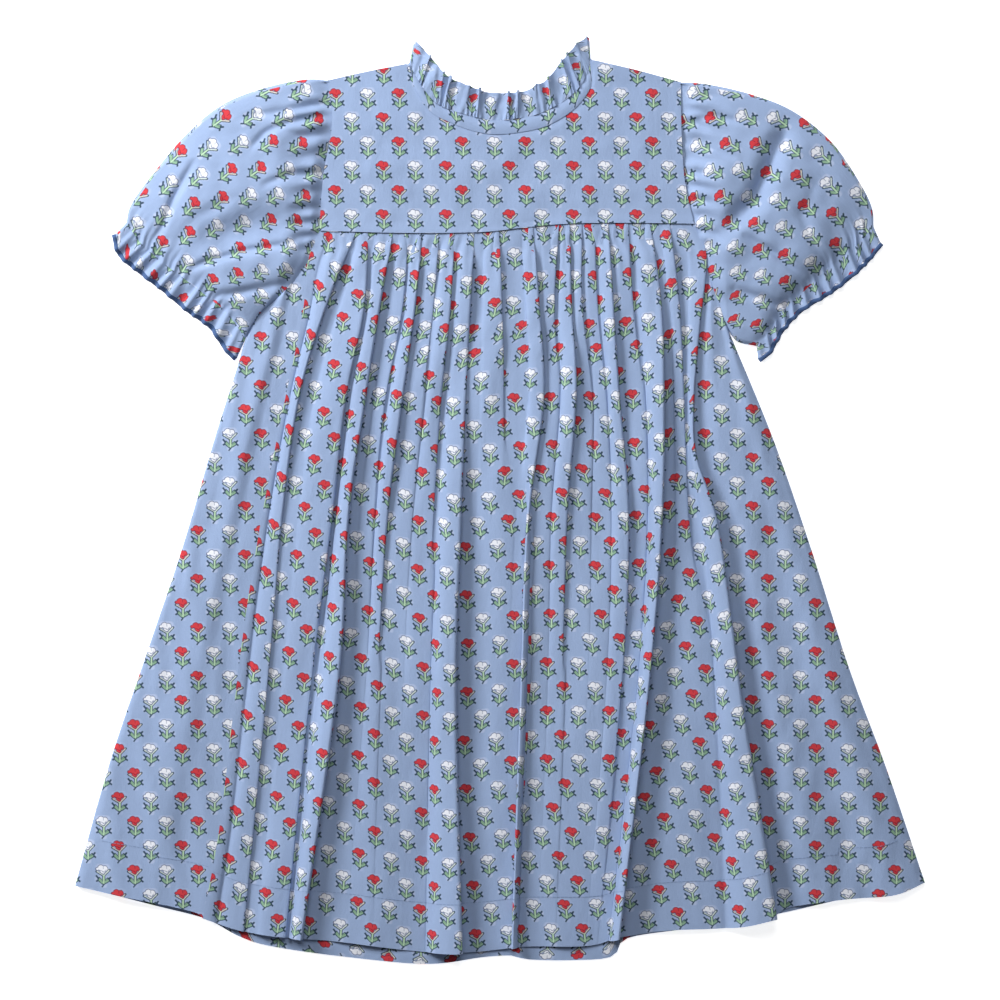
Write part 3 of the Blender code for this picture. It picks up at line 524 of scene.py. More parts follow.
def make_flower_print():
    """Node group of the flower print: the cut cloth's place in, colour out."""
    tree, start, end = new_group("flower print", [("Cloth", "NodeSocketVector"),
                                                  ("Ground", "NodeSocketColor")],
                                 [("Colour", "NodeSocketColor")])
    spot = tree.nodes.new("ShaderNodeSeparateXYZ")
    put(tree, spot.inputs[0], vector(tree, "MULTIPLY", start.outputs["Cloth"], (1000.0,) * 3))
    row = figure(tree, "FLOOR", figure(tree, "DIVIDE", spot.outputs["Y"], ROW_PITCH))
    odd_row = figure(tree, "FLOORED_MODULO", row, 2.0)
    shift = figure(tree, "MULTIPLY", odd_row, 0.5 * FLOWER_PITCH)
    along = figure(tree, "ADD", spot.outputs["X"], shift)
    column = figure(tree, "FLOOR", figure(tree, "DIVIDE", along, FLOWER_PITCH))
    is_white = figure(tree, "FLOORED_MODULO", column, 2.0)
    middle_x = figure(tree, "MULTIPLY", figure(tree, "ADD", column, 0.5), FLOWER_PITCH)
    middle_y = figure(tree, "MULTIPLY", figure(tree, "ADD", row, 0.5), ROW_PITCH)
    place = tree.nodes.new("ShaderNodeCombineXYZ")
    put(tree, place.inputs[0], figure(tree, "SUBTRACT", along, middle_x))
    put(tree, place.inputs[1], figure(tree, "SUBTRACT", spot.outputs["Y"], middle_y))
    uneven = mottle(tree, place.outputs[0], 0.9, 1.0)
    wobble = figure(tree, "MULTIPLY", figure(tree, "SUBTRACT", uneven, 0.5), 0.5)

    def stroke_distance(stroke):
        _, start_x, start_y, end_x, end_y, half_width = stroke
        run_x, run_y = end_x - start_x, end_y - start_y
        offset = vector(tree, "SUBTRACT", place.outputs[0], (start_x, start_y, 0.0))
        scale = 1.0 / (run_x * run_x + run_y * run_y)
        share = vector(tree, "DOT_PRODUCT", offset, (run_x * scale, run_y * scale, 0.0), 1)
        share = figure(tree, "ADD", share, 0.0, clamp=True)
        run = tree.nodes.new("ShaderNodeVectorMath")
        run.operation = "SCALE"
        put(tree, run.inputs[0], (run_x, run_y, 0.0))
        put(tree, run.inputs["Scale"], share)
        gap = vector(tree, "SUBTRACT", offset, run.outputs[0])
        length = vector(tree, "LENGTH", gap, output=1)
        return figure(tree, "SUBTRACT", length, half_width)

    colour = start.outputs["Ground"]
    for layer, (on_red, on_white) in PRINT_COLOURS.items():
        distance = None
        for stroke in FLOWER_STROKES:
            if stroke[0] == layer:
                reach = stroke_distance(stroke)
                distance = reach if distance is None else figure(tree, "MINIMUM", distance, reach)
        distance = figure(tree, "ADD", distance, wobble)
        blur = EDGE_BLUR * (3.0 if layer == "halo" else 1.0)
        cover = figure(tree, "MULTIPLY", distance, -0.5 / blur)
        cover = figure(tree, "ADD", cover, 0.5, clamp=True)
        if layer == "halo":
            cover = figure(tree, "MULTIPLY", cover, 0.35)
        tint = blended(tree, is_white, on_red, on_white)
        colour = blended(tree, cover, colour, tint)
    put(tree, end.inputs["Colour"], colour)
    return tree


def make_cotton_weave():
    """Node group of the plain weave and the small creases: shade and height."""
    tree, start, end = new_group("cotton weave", [("Cloth", "NodeSocketVector"),
                                                  ("Crease", "NodeSocketFloat")],
                                 [("Shade", "NodeSocketFloat"), ("Height", "NodeSocketFloat")])
    spot = tree.nodes.new("ShaderNodeSeparateXYZ")
    put(tree, spot.inputs[0], vector(tree, "MULTIPLY", start.outputs["Cloth"], (1000.0,) * 3))
    threads = []
    for axis in ("X", "Y"):
        angle = figure(tree, "MULTIPLY", spot.outputs[axis], TURN / 0.62)
        threads.append(figure(tree, "SINE", angle))
    weave = figure(tree, "MULTIPLY", threads[0], threads[1])
    slub = mottle(tree, vector(tree, "MULTIPLY", start.outputs["Cloth"], (260.0, 2600.0, 1.0)),
                  1.0, 2.0)
    cross_slub = mottle(tree, vector(tree, "MULTIPLY", start.outputs["Cloth"],
                                     (2600.0, 260.0, 1.0)), 1.0, 2.0)
    slubs = figure(tree, "ADD", slub, cross_slub)
    soft = mottle(tree, vector(tree, "MULTIPLY", start.outputs["Cloth"], (85.0, 40.0, 1.0)),
                  1.0, 4.0, 0.55)
    broad = mottle(tree, vector(tree, "MULTIPLY", start.outputs["Cloth"], (28.0, 9.0, 1.0)),
                   1.0, 2.0)
    shade = figure(tree, "MULTIPLY", figure(tree, "SUBTRACT", slubs, 1.0), 0.10)
    shade = figure(tree, "ADD", shade, figure(tree, "MULTIPLY", weave, 0.035))
    drift = figure(tree, "MULTIPLY", figure(tree, "SUBTRACT", broad, 0.5), 0.10)
    shade = figure(tree, "ADD", figure(tree, "ADD", shade, drift), 1.0)
    put(tree, end.inputs["Shade"], shade)
    height = figure(tree, "MULTIPLY", weave, 0.06)
    height = figure(tree, "ADD", height, figure(tree, "MULTIPLY", slubs, 0.10))
    creases = figure(tree, "MULTIPLY", soft, figure(tree, "MULTIPLY", start.outputs["Crease"], 1.6))
    height = figure(tree, "ADD", height, creases)
    put(tree, end.inputs["Height"], height)
    return tree


FLOWER_PRINT = make_flower_print()
COTTON_WEAVE = make_cotton_weave()


def cotton_finish(name, ground, printed, crease, roughness):
    """A cotton cloth: the print or a plain dye, with the weave and its creases."""
    finish = bpy.data.materials.new(name)
    finish.use_nodes = True
    tree = finish.node_tree
    shader = tree.nodes["Principled BSDF"]
    shader.inputs["Roughness"].default_value = roughness
    place = tree.nodes.new("ShaderNodeUVMap")
    place.uv_map = "cloth"
    weave = tree.nodes.new("ShaderNodeGroup")
    weave.node_tree = COTTON_WEAVE
    put(tree, weave.inputs["Cloth"], place.outputs[0])
    weave.inputs["Crease"].default_value = crease
    colour = ground
    if printed:
        flowers = tree.nodes.new("ShaderNodeGroup")
        flowers.node_tree = FLOWER_PRINT
        put(tree, flowers.inputs["Cloth"], place.outputs[0])
        put(tree, flowers.inputs["Ground"], ground)
        colour = flowers.outputs["Colour"]
    shaded = blended(tree, 1.0, colour, weave.outputs["Shade"], "MULTIPLY")
    put(tree, shader.inputs["Base Color"], shaded)
    bump = tree.nodes.new("ShaderNodeBump")
    bump.inputs["Strength"].default_value = 0.55
    bump.inputs["Distance"].default_value = 0.001
    put(tree, bump.inputs["Height"], weave.outputs["Height"])
    put(tree, shader.inputs["Normal"], bump.outputs[0])
    return finish


def resin_finish():
    """Satin resin of the button."""
    finish = bpy.data.materials.new("button_resin")
    finish.use_nodes = True
    tree = finish.node_tree
    shader = tree.nodes["Principled BSDF"]
    place = tree.nodes.new("ShaderNodeTexCoord")
    cloud = mottle(tree, place.outputs["Object"], 900.0, 3.0)
    colour = blended(tree, cloud, BUTTON_BLUE, (0.36, 0.48, 0.68))
    put(tree, shader.inputs["Base Color"], colour)
    rough = figure(tree, "ADD", figure(tree, "MULTIPLY", cloud, 0.15), 0.28)
    put(tree, shader.inputs["Roughness"], rough)
    return finish


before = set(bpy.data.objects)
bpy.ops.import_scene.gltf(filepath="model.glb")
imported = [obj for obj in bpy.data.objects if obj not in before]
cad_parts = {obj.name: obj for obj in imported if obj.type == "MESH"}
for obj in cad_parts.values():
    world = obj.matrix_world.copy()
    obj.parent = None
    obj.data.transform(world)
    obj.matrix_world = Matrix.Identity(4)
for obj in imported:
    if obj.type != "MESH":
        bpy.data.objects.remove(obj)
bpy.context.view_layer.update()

PRINTED = cotton_finish("printed_cotton", COTTON_BLUE, True, 1.0, 0.88)
BINDING = cotton_finish("navy_binding", BINDING_NAVY, False, 0.4, 0.85)
RESIN = resin_finish()
THREAD = cotton_finish("blue_thread", THREAD_BLUE, False, 0.2, 0.7)


# the skirt's front


def crest_lines():
    """The x of each fold's crest as a function of y; the first and last are the seams."""
    top = smooth_path(YOKE_SEAM)
    hem = smooth_path(FRONT_HEM)
    lines = []
    for crest_x, _, _ in FOLDS:
        upper = top(share_across(YOKE_SEAM, crest_x[0])).y
        lower = hem(share_across(FRONT_HEM, crest_x[-1])).y
        points = [(x, upper + (lower - upper) * t) for x, t in zip(crest_x, FOLD_STATIONS)]
        lines.append(downward(points))
    lines[0] = downward(SIDE_SEAM_LEFT)
    lines[-1] = downward(SIDE_SEAM_RIGHT)
    return lines


def seam_rise(share):
    """Height of the yoke seam along the yoke's width."""
    return YOKE_RISE - 0.4 * (2.0 * share - 1.0) ** 2


def turned_share(index, t):
    """How far a crest's steep side is its left one, from 0 to 1."""
    return ease((t - 0.30) / 0.16) if index == TURNED_FOLD else 0.0


def mixed_side(towards_steep, mirror):
    """The shape of one side of a crest between soft and steep."""
    rows = []
    for steep, soft in zip(STEEP_SIDE, SOFT_SIDE):
        row = [a * towards_steep + b * (1.0 - towards_steep) for a, b in zip(steep, soft)]
        if mirror:
            row[2], row[3] = -row[2], -row[3]
        rows.append(row)
    return rows


CRESTS = crest_lines()
YOKE_SEAM_PATH = smooth_path(YOKE_SEAM)
FRONT_HEM_PATH = smooth_path(FRONT_HEM)


def front_row(t, depth_scale):
    """One row of points across the skirt's front, with the fold tucks scaled."""
    flat_start = ease(t / 0.05)
    trough = between(RISE_STATIONS, TROUGH_RISE, t)
    last = len(FOLDS) - 1
    points = []

    def base_point(index, share):
        following = min(index + 1, last)
        top_x = FOLDS[index][0][0] + (FOLDS[following][0][0] - FOLDS[index][0][0]) * share
        hem_x = FOLDS[index][0][-1] + (FOLDS[following][0][-1] - FOLDS[index][0][-1]) * share
        top_share = share_across(YOKE_SEAM, top_x)
        upper = YOKE_SEAM_PATH(top_share).y - 0.5 * SEAM_GAP
        lower = FRONT_HEM_PATH(share_across(FRONT_HEM, hem_x)).y
        y = upper + (lower - upper) * t
        here, there = CRESTS[index](y), CRESTS[following](y)
        return here + (there - here) * share, y, seam_rise(top_share)

    def crest_rise(index):
        rise = between(RISE_STATIONS, FOLDS[index][1], t)
        return rise * (0.30 + 0.70 * flat_start)

    def crest_steepness(index):
        return ease((between(RISE_STATIONS, FOLDS[index][1], t) - 0.9) / 0.7) if index else 0.0

    def crest_tuck(index, width_before, width_after):
        turned = turned_share(index, t)
        width = width_before * (1.0 - turned) + width_after * turned
        if index == 0:
            return 0.0
        if index == last:
            return min(2.0, 0.3 * crest_rise(index))
        return depth_scale * crest_steepness(index) * min(0.66 * width, 3.2 * crest_rise(index))

    widths = []
    for index in range(last):
        widths.append(base_point(index, 1.0)[0] - base_point(index, 0.0)[0])

    def add(index, share, rise, shift):
        x, y, seam_z = base_point(index, share)
        z = trough + rise
        top_z = seam_z - 0.75 + 0.25 * rise
        points.append(Vector((x + shift, y, top_z + (z - top_z) * flat_start)))

    for index in range(last + 1):
        before = widths[index - 1] if index else 0.0
        after = widths[index] if index < last else 0.0
        turned = turned_share(index, t)
        rise = crest_rise(index)
        tuck = crest_tuck(index, before, after)
        lip = LIP * min(1.0, rise / 2.5)
        valley = FOLDS[index][2]
        rows = mixed_side(crest_steepness(index) * (1.0 - turned), False)
        if index == last:
            rows = rows[:4]
        for way, height, tucked, lipped in rows:
            add(index, way * valley if index < last else 0.0, rise * height,
                tucked * tuck + lipped * lip)
        if index == last:
            break
        add(index, valley, 0.0, 0.0)
        after_next = widths[index + 1] if index + 1 < last else 0.0
        next_turned = turned_share(index + 1, t)
        next_rise = crest_rise(index + 1)
        next_tuck = crest_tuck(index + 1, after, after_next)
        next_lip = LIP * min(1.0, next_rise / 2.5)
        for way, height, tucked, lipped in reversed(mixed_side(next_turned, True)[1:]):
            add(index, 1.0 - way * (1.0 - valley), next_rise * height,
                tucked * next_tuck + lipped * next_lip)

    fine = []
    for k in range(len(points) - 1):
        here, there = points[k], points[k + 1]
        back = points[k - 1] if k else 2 * here - there
        ahead = points[k + 2] if k + 2 < len(points) else 2 * there - here
        fine.append(here)
        fine.append((9 * (here + there) - back - ahead) / 16)
    fine.append(points[-1])
    return fine


def row_run(points):
    """Distance along a row of points, without its rise towards hem or yoke."""
    run = [0.0]
    for a, b in zip(points, points[1:]):
        run.append(run[-1] + math.hypot(b.x - a.x, b.z - a.z))
    return run


def with_length(table):
    """Rows of (point, place across the cut) with the place along it, measured up from the hem."""
    up = [0.0] * len(table[-1])
    finished = [[(point, (across, 0.0)) for point, across in table[-1]]]
    for upper, lower in zip(reversed(table[:-1]), reversed(table[1:])):
        row = []
        for i, ((point, across), (below, _)) in enumerate(zip(upper, lower)):
            up[i] += math.hypot(point.x - below.x, point.y - below.y)
            row.append((point, (across, up[i])))
        finished.append(row)
    return finished[::-1]


def build_skirt_front():
    """The gathered front of the skirt, with its folds tucked under their crests."""
    rows = 100
    table = []
    for j in range(rows + 1):
        t = (j / rows) ** 1.15
        loose = row_run(front_row(t, 0.0))[-1]
        tucked = row_run(front_row(t, 1.0))[-1]
        scale = (SKIRT_FRONT_CUT - loose) / max(tucked - loose, 1e-6)
        points = front_row(t, min(max(scale, 0.0), 1.0))
        run = row_run(points)
        stretch = SKIRT_FRONT_CUT / run[-1]
        along = (1.0 - t) * SKIRT_SEEN_LENGTH
        row = []
        for point, distance in zip(points, run):
            across = distance * stretch
            gather = (1.0 - ease((t - 0.004) / 0.10)) * ease(t / 0.012)
            pucker = math.sin(TURN * across / 9.5 + 5.0 * ripple(across / 30, along / 90, 1.7))
            edge = ease(distance / 14.0) * ease((run[-1] - distance) / 14.0)
            lift = 0.55 * gather * pucker
            lift += 2.2 * ripple(across / 30, along / 130, 4.2) * ease(t / 0.08)
            lift += 0.8 * ripple(across / 12, along / 45, 9.4) * ease(t / 0.08)
            point.z = max(point.z + lift * edge, 1.6)
            row.append((point, across))
        table.append(row)
    table = with_length(table)

    columns = len(table[0]) - 1
    piece = cloth("skirt_front_cloth", columns, rows, lambda i, j: table[j][i], PRINTED,
                  turn_over=True)
    settle(piece, "skirt_front")
    return table


# the skirt's back, which turns round both edges to the side seams


def panel_rise(folds, share, t):
    """Extra height of a side panel, from its seam out to its edge."""
    stops = [0.0] + [fold[0] for fold in folds] + [1.0]
    rises = [0.0] + [fold[1] + (fold[2] - fold[1]) * t for fold in folds] + [0.0]
    for k in range(len(stops) - 1):
        if share <= stops[k + 1]:
            step = ease((share - stops[k]) / (stops[k + 1] - stops[k]))
            return rises[k] + (rises[k + 1] - rises[k]) * step
    return 0.0


def back_seam(offset):
    """The back's yoke seam, a straight run between the armholes' corners."""
    start, end = Vector(YOKE_SEAM[0]), Vector(YOKE_SEAM[-1])
    return moved_aside(straight(start, end), offset)


def build_skirt_back():
    """The back of the skirt with both side panels: one strip that turns at the edges."""
    panel_steps = PANEL_STEPS
    back_steps = 96
    columns = 2 * panel_steps + 2 * BEND_STEPS + back_steps
    rows = 96
    edges = {-1: downward(SIDE_EDGE_LEFT), 1: downward(SIDE_EDGE_RIGHT)}
    armholes = {side: moved_aside(smooth_path(points), side * 0.6 * SEAM_LAP)
                for side, points in ((-1, UNDERARM_SEAM_LEFT), (1, UNDERARM_SEAM_RIGHT))}
    hems = {-1: smooth_path(PANEL_HEM_LEFT), 1: smooth_path(PANEL_HEM_RIGHT)}
    seams = {-1: downward(SIDE_SEAM_LEFT), 1: downward(SIDE_SEAM_RIGHT)}
    folds = {-1: PANEL_FOLDS_LEFT, 1: PANEL_FOLDS_RIGHT}
    seam_tops = {-1: SIDE_SEAM_LEFT[0][1], 1: SIDE_SEAM_RIGHT[0][1]}

    def edge_point(side, t):
        y_top = armholes[side](1.0).y
        y_hem = hems[side](1.0).y
        y = y_top + (y_hem - y_top) * t
        return Vector((edges[side](y), y))

    def panel_point(side, share, t):
        top = armholes[side](share)
        hem = hems[side](share)
        y = top.y + (hem.y - top.y) * t
        down = (seam_tops[side] - y) / (seam_tops[side] + 272.0)
        crest = FOLDS[0 if side < 0 else -1][1]
        seam_height = between(RISE_STATIONS, TROUGH_RISE, down)
        rise = between(RISE_STATIONS, crest, down)
        tuck = 0.0
        if side < 0:
            seam_height += rise
        else:
            seam_height += 0.08 * rise
            tuck = min(2.0, 0.3 * rise)
        seam_x = seams[side](y) - tuck
        x = seam_x + (edge_point(side, t).x - seam_x) * share
        if t == 0.0:
            x = top.x
        height = seam_height + (LAYER - seam_height) * ease(share)
        height += panel_rise(folds[side], share, t)
        middle = ease(4 * share) * ease(4 * (1 - share))
        height += 2.4 * middle * ripple((x + 0.3 * y) / 26, y / 95, 6.1)
        height += 1.1 * middle * ripple((x - 0.2 * side * y) / 12, y / 40, 2.2)
        height -= SEAM_DROP * (1.0 - ease(t / 0.012)) * ease((1.0 - share) / 0.2)
        return Vector((x, y, max(height, 1.5)))

    back_top = joined((reverse(armholes[-1]), 10),
                      (back_seam(-0.5 * CURVED_SEAM_GAP), back_steps - 20),
                      (armholes[1], 10))
    back_plan = patch(back_top, smooth_path(BACK_HEM),
                      lambda t: edge_point(-1, t) + Vector((BEND, 0.0)),
                      lambda t: edge_point(1, t) - Vector((BEND, 0.0)))

    def bend_point(side, turn, t):
        edge = edge_point(side, t)
        angle = math.pi * (0.5 - turn)
        return Vector((edge.x + side * BEND * (math.cos(angle) - 1.0), edge.y,
                       BEND + BEND * math.sin(angle)))

    def spot(i, t):
        last_panel = 1.0 - 0.5 / 8
        if i <= panel_steps:
            return panel_point(-1, last_panel * i / panel_steps, t)
        i -= panel_steps
        if i < BEND_STEPS:
            return bend_point(-1, i / BEND_STEPS, t)
        i -= BEND_STEPS
        if i <= back_steps:
            point = back_plan(i / back_steps, t)
            inner = ease(i / 8) * ease((back_steps - i) / 8)
            crease = max(ripple(point.x / 16, point.y / 150, 7.7), 0.0)
            gather = (1.0 - ease(t / 0.3)) * max(math.sin(TURN * point.x / 13.0), 0.0)
            return Vector((point.x, point.y, inner * (0.8 * crease + 0.5 * gather)))
        i -= back_steps
        if i < BEND_STEPS:
            return bend_point(1, 1.0 - i / BEND_STEPS, t)
        i -= BEND_STEPS
        return panel_point(1, last_panel * (panel_steps - i) / panel_steps, t)

    first_back = panel_steps + BEND_STEPS
    last_back = first_back + back_steps

    def print_place(i, point):
        """The panels' print stands upright as they lie; the back's runs from its own middle."""
        turn = 0.0
        if panel_steps < i < first_back:
            turn = BEND * (1.0 - math.pi * (i - panel_steps) / BEND_STEPS)
        elif last_back < i < last_back + BEND_STEPS:
            turn = -BEND * (1.0 - math.pi * (last_back + BEND_STEPS - i) / BEND_STEPS)
        if turn:
            edge = edges[-1 if i < first_back else 1](point.y)
            return edge + turn, point.y
        return (-point.x if first_back <= i <= last_back else point.x), point.y

    table = []
    for j in range(rows + 1):
        points = [spot(i, j / rows) for i in range(columns + 1)]
        table.append([(point, print_place(i, point)) for i, point in enumerate(points)])
    piece = cloth("skirt_back_cloth", columns, rows, lambda i, j: table[j][i], PRINTED)
    settle(piece, "skirt_back")
    hem_width = row_run([point for point, _ in table[-1]])[-1]

    hem_rows = 10

    def turned_place(i, j):
        """The hem's turned-up edge, inside the back: its print stands upside down."""
        column = first_back + 3 + i
        low = table[-1][column][0]
        high = spot(column, 1.0 - HEM_DEPTH / SKIRT_SEEN_LENGTH)
        point = low.lerp(high, j / hem_rows)
        lift = 0.35 + CLOTH_THICKNESS * (1.0 + ease(min(j, hem_rows - j) / 2.0))
        return (point.x, point.y, point.z + lift), (point.x, 2.0 * low.y - point.y)

    hem = cloth("skirt_back_turned_hem", back_steps - 6, hem_rows, turned_place, PRINTED)
    settle(hem, "skirt_back")
    return table


# the yoke


def yoke_top_path():
    """The yoke's upper edge: shoulder, neck seam, shoulder."""
    neck = moved_aside(smooth_path(NECK_SEAM), SEAM_LAP)
    return joined((smooth_path(SHOULDER_LEFT), 4.0), (neck, 16.0),
                  (smooth_path(SHOULDER_RIGHT), 4.0))


def yoke_patch(seam):
    """The yoke in plan: u across, v from the yoke seam up to the neck."""
    left = reverse(smooth_path(ARMHOLE_LEFT))
    right = reverse(smooth_path(ARMHOLE_RIGHT))
    return patch(seam, yoke_top_path(), left, right)


def yoke_height(u, v):
    """Height of the front yoke's outer side: low along the shoulders."""
    on_shoulder = 1.0 - ease((abs(2.0 * u - 1.0) - 1.0) / -0.36)
    low = SHOULDER_RISE + (YOKE_RISE - SHOULDER_RISE) * (1.0 - on_shoulder)
    return seam_rise(u) + (low - seam_rise(u)) * ease((v - 0.55) / 0.45)


def build_yoke_front():
    """The plain front yoke."""
    plan = yoke_patch(moved_aside(smooth_path(YOKE_SEAM), 0.2 * SEAM_GAP))
    columns, rows = 144, 72

    def place(i, j):
        u, v = i / columns, j / rows
        point = plan(u, v)
        inner = ease(8 * u) * ease(8 * (1 - u)) * ease(10 * v) * ease(10 * (1 - v))
        height = yoke_height(u, v)
        height += 1.0 * inner * ripple(point.x / 30, point.y / 24, 3.3)
        height += 0.5 * inner * ripple(point.x / 12, point.y / 14, 5.1)
        height += 0.5 * (1.0 - ease(v / 0.07))
        return (point.x, point.y, height), (point.x + YOKE_PRINT[0], point.y + YOKE_PRINT[1])

    piece = cloth("yoke_front_cloth", columns, rows, place, PRINTED)
    settle(piece, "yoke_front")


def build_yoke_backs():
    """The two halves of the back yoke, flat on the surface, parted at the centre."""
    plan = yoke_patch(back_seam(0.5 * CURVED_SEAM_GAP))
    columns, rows = 60, 48
    opening = 0.5 * CURVED_SEAM_GAP / (YOKE_SEAM[-1][0] - YOKE_SEAM[0][0])
    for side, node in ((-1, "yoke_back_left"), (1, "yoke_back_right")):
        def place(i, j, side=side):
            u = 0.5 + side * max(0.5 * i / columns, opening)
            v = j / rows
            point = plan(u, v)
            inner = ease(6 * i / columns) * ease(6 * (1 - i / columns)) * ease(6 * v) * ease(6 * (1 - v))
            height = 0.6 * inner * max(ripple(point.x / 18, point.y / 30, 8.2), 0.0)
            return (point.x, point.y, height), (-point.x, point.y)

        piece = cloth(node + "_cloth", columns, rows, place, PRINTED, turn_over=side > 0)
        settle(piece, node)


# the sleeves


def armhole_path(side):
    """The whole armhole seam of one side, from the shoulder down to the body's edge."""
    upper = smooth_path(ARMHOLE_LEFT if side < 0 else ARMHOLE_RIGHT)
    lower = smooth_path(UNDERARM_SEAM_LEFT if side < 0 else UNDERARM_SEAM_RIGHT)
    corner = straight(upper(1.0), lower(0.0))
    return joined(*[(path, path.length) for path in (upper, corner, lower)])


def shifted(points, dx):
    """The points moved along x."""
    return [(x + dx, y) for x, y in points]


def tube_loop(width, top_steps, back_steps):
    """Section of a flattened tube: (distance across, base height, on the top side)."""
    span = width - 2 * BEND
    loop = []
    for k in range(top_steps + 1):
        loop.append((BEND + span * k / top_steps, LAYER, 1.0))
    for k in range(1, BEND_STEPS):
        angle = math.pi * (0.5 - k / BEND_STEPS)
        loop.append((width - BEND + BEND * math.cos(angle), BEND + BEND * math.sin(angle), 0.0))
    for k in range(back_steps + 1):
        loop.append((width - BEND - span * k / back_steps, 0.0, 0.0))
    for k in range(1, BEND_STEPS):
        angle = math.pi * (0.5 + k / BEND_STEPS)
        loop.append((BEND + BEND * math.cos(angle), BEND - BEND * math.sin(angle), 0.0))
    loop.append(loop[0])
    return loop


def build_tube(name, plan, rows, crown, cut_place, finish, turn_over, thickness=CLOTH_THICKNESS,
               top_steps=132):
    """A flattened tube over a plan patch: u across it, v along it.

    cut_place gets a point, its v, its distance round the tube from the top's middle, the
    row's far edge point, and how far past that edge the point lies.
    """
    table = []
    for j in range(rows + 1):
        v = j / rows
        width = (plan(1.0, v) - plan(0.0, v)).length
        loop = tube_loop(width, top_steps, top_steps // 2)
        row = []
        for across, height, on_top in loop:
            u = across / width
            point = plan(u, v)
            shift = Vector((0.0, 0.0, 0.0))
            if on_top:
                shift = crown(u, v, point)
            row.append(Vector((point.x + shift[0], point.y + shift[1], height + shift[2])))
        run = [0.0]
        for a, b in zip(row, row[1:]):
            run.append(run[-1] + (b - a).length)
        middle, edge = run[top_steps // 2], row[top_steps]
        table.append([(point, cut_place(point, v, distance - middle, edge,
                                        max(distance - run[top_steps], 0.0)))
                      for point, distance in zip(row, run)])
    columns = len(table[0]) - 1
    return cloth(name, columns, rows, lambda i, j: table[j][i], finish, thickness=thickness,
                 turn_over=turn_over, tube=True)


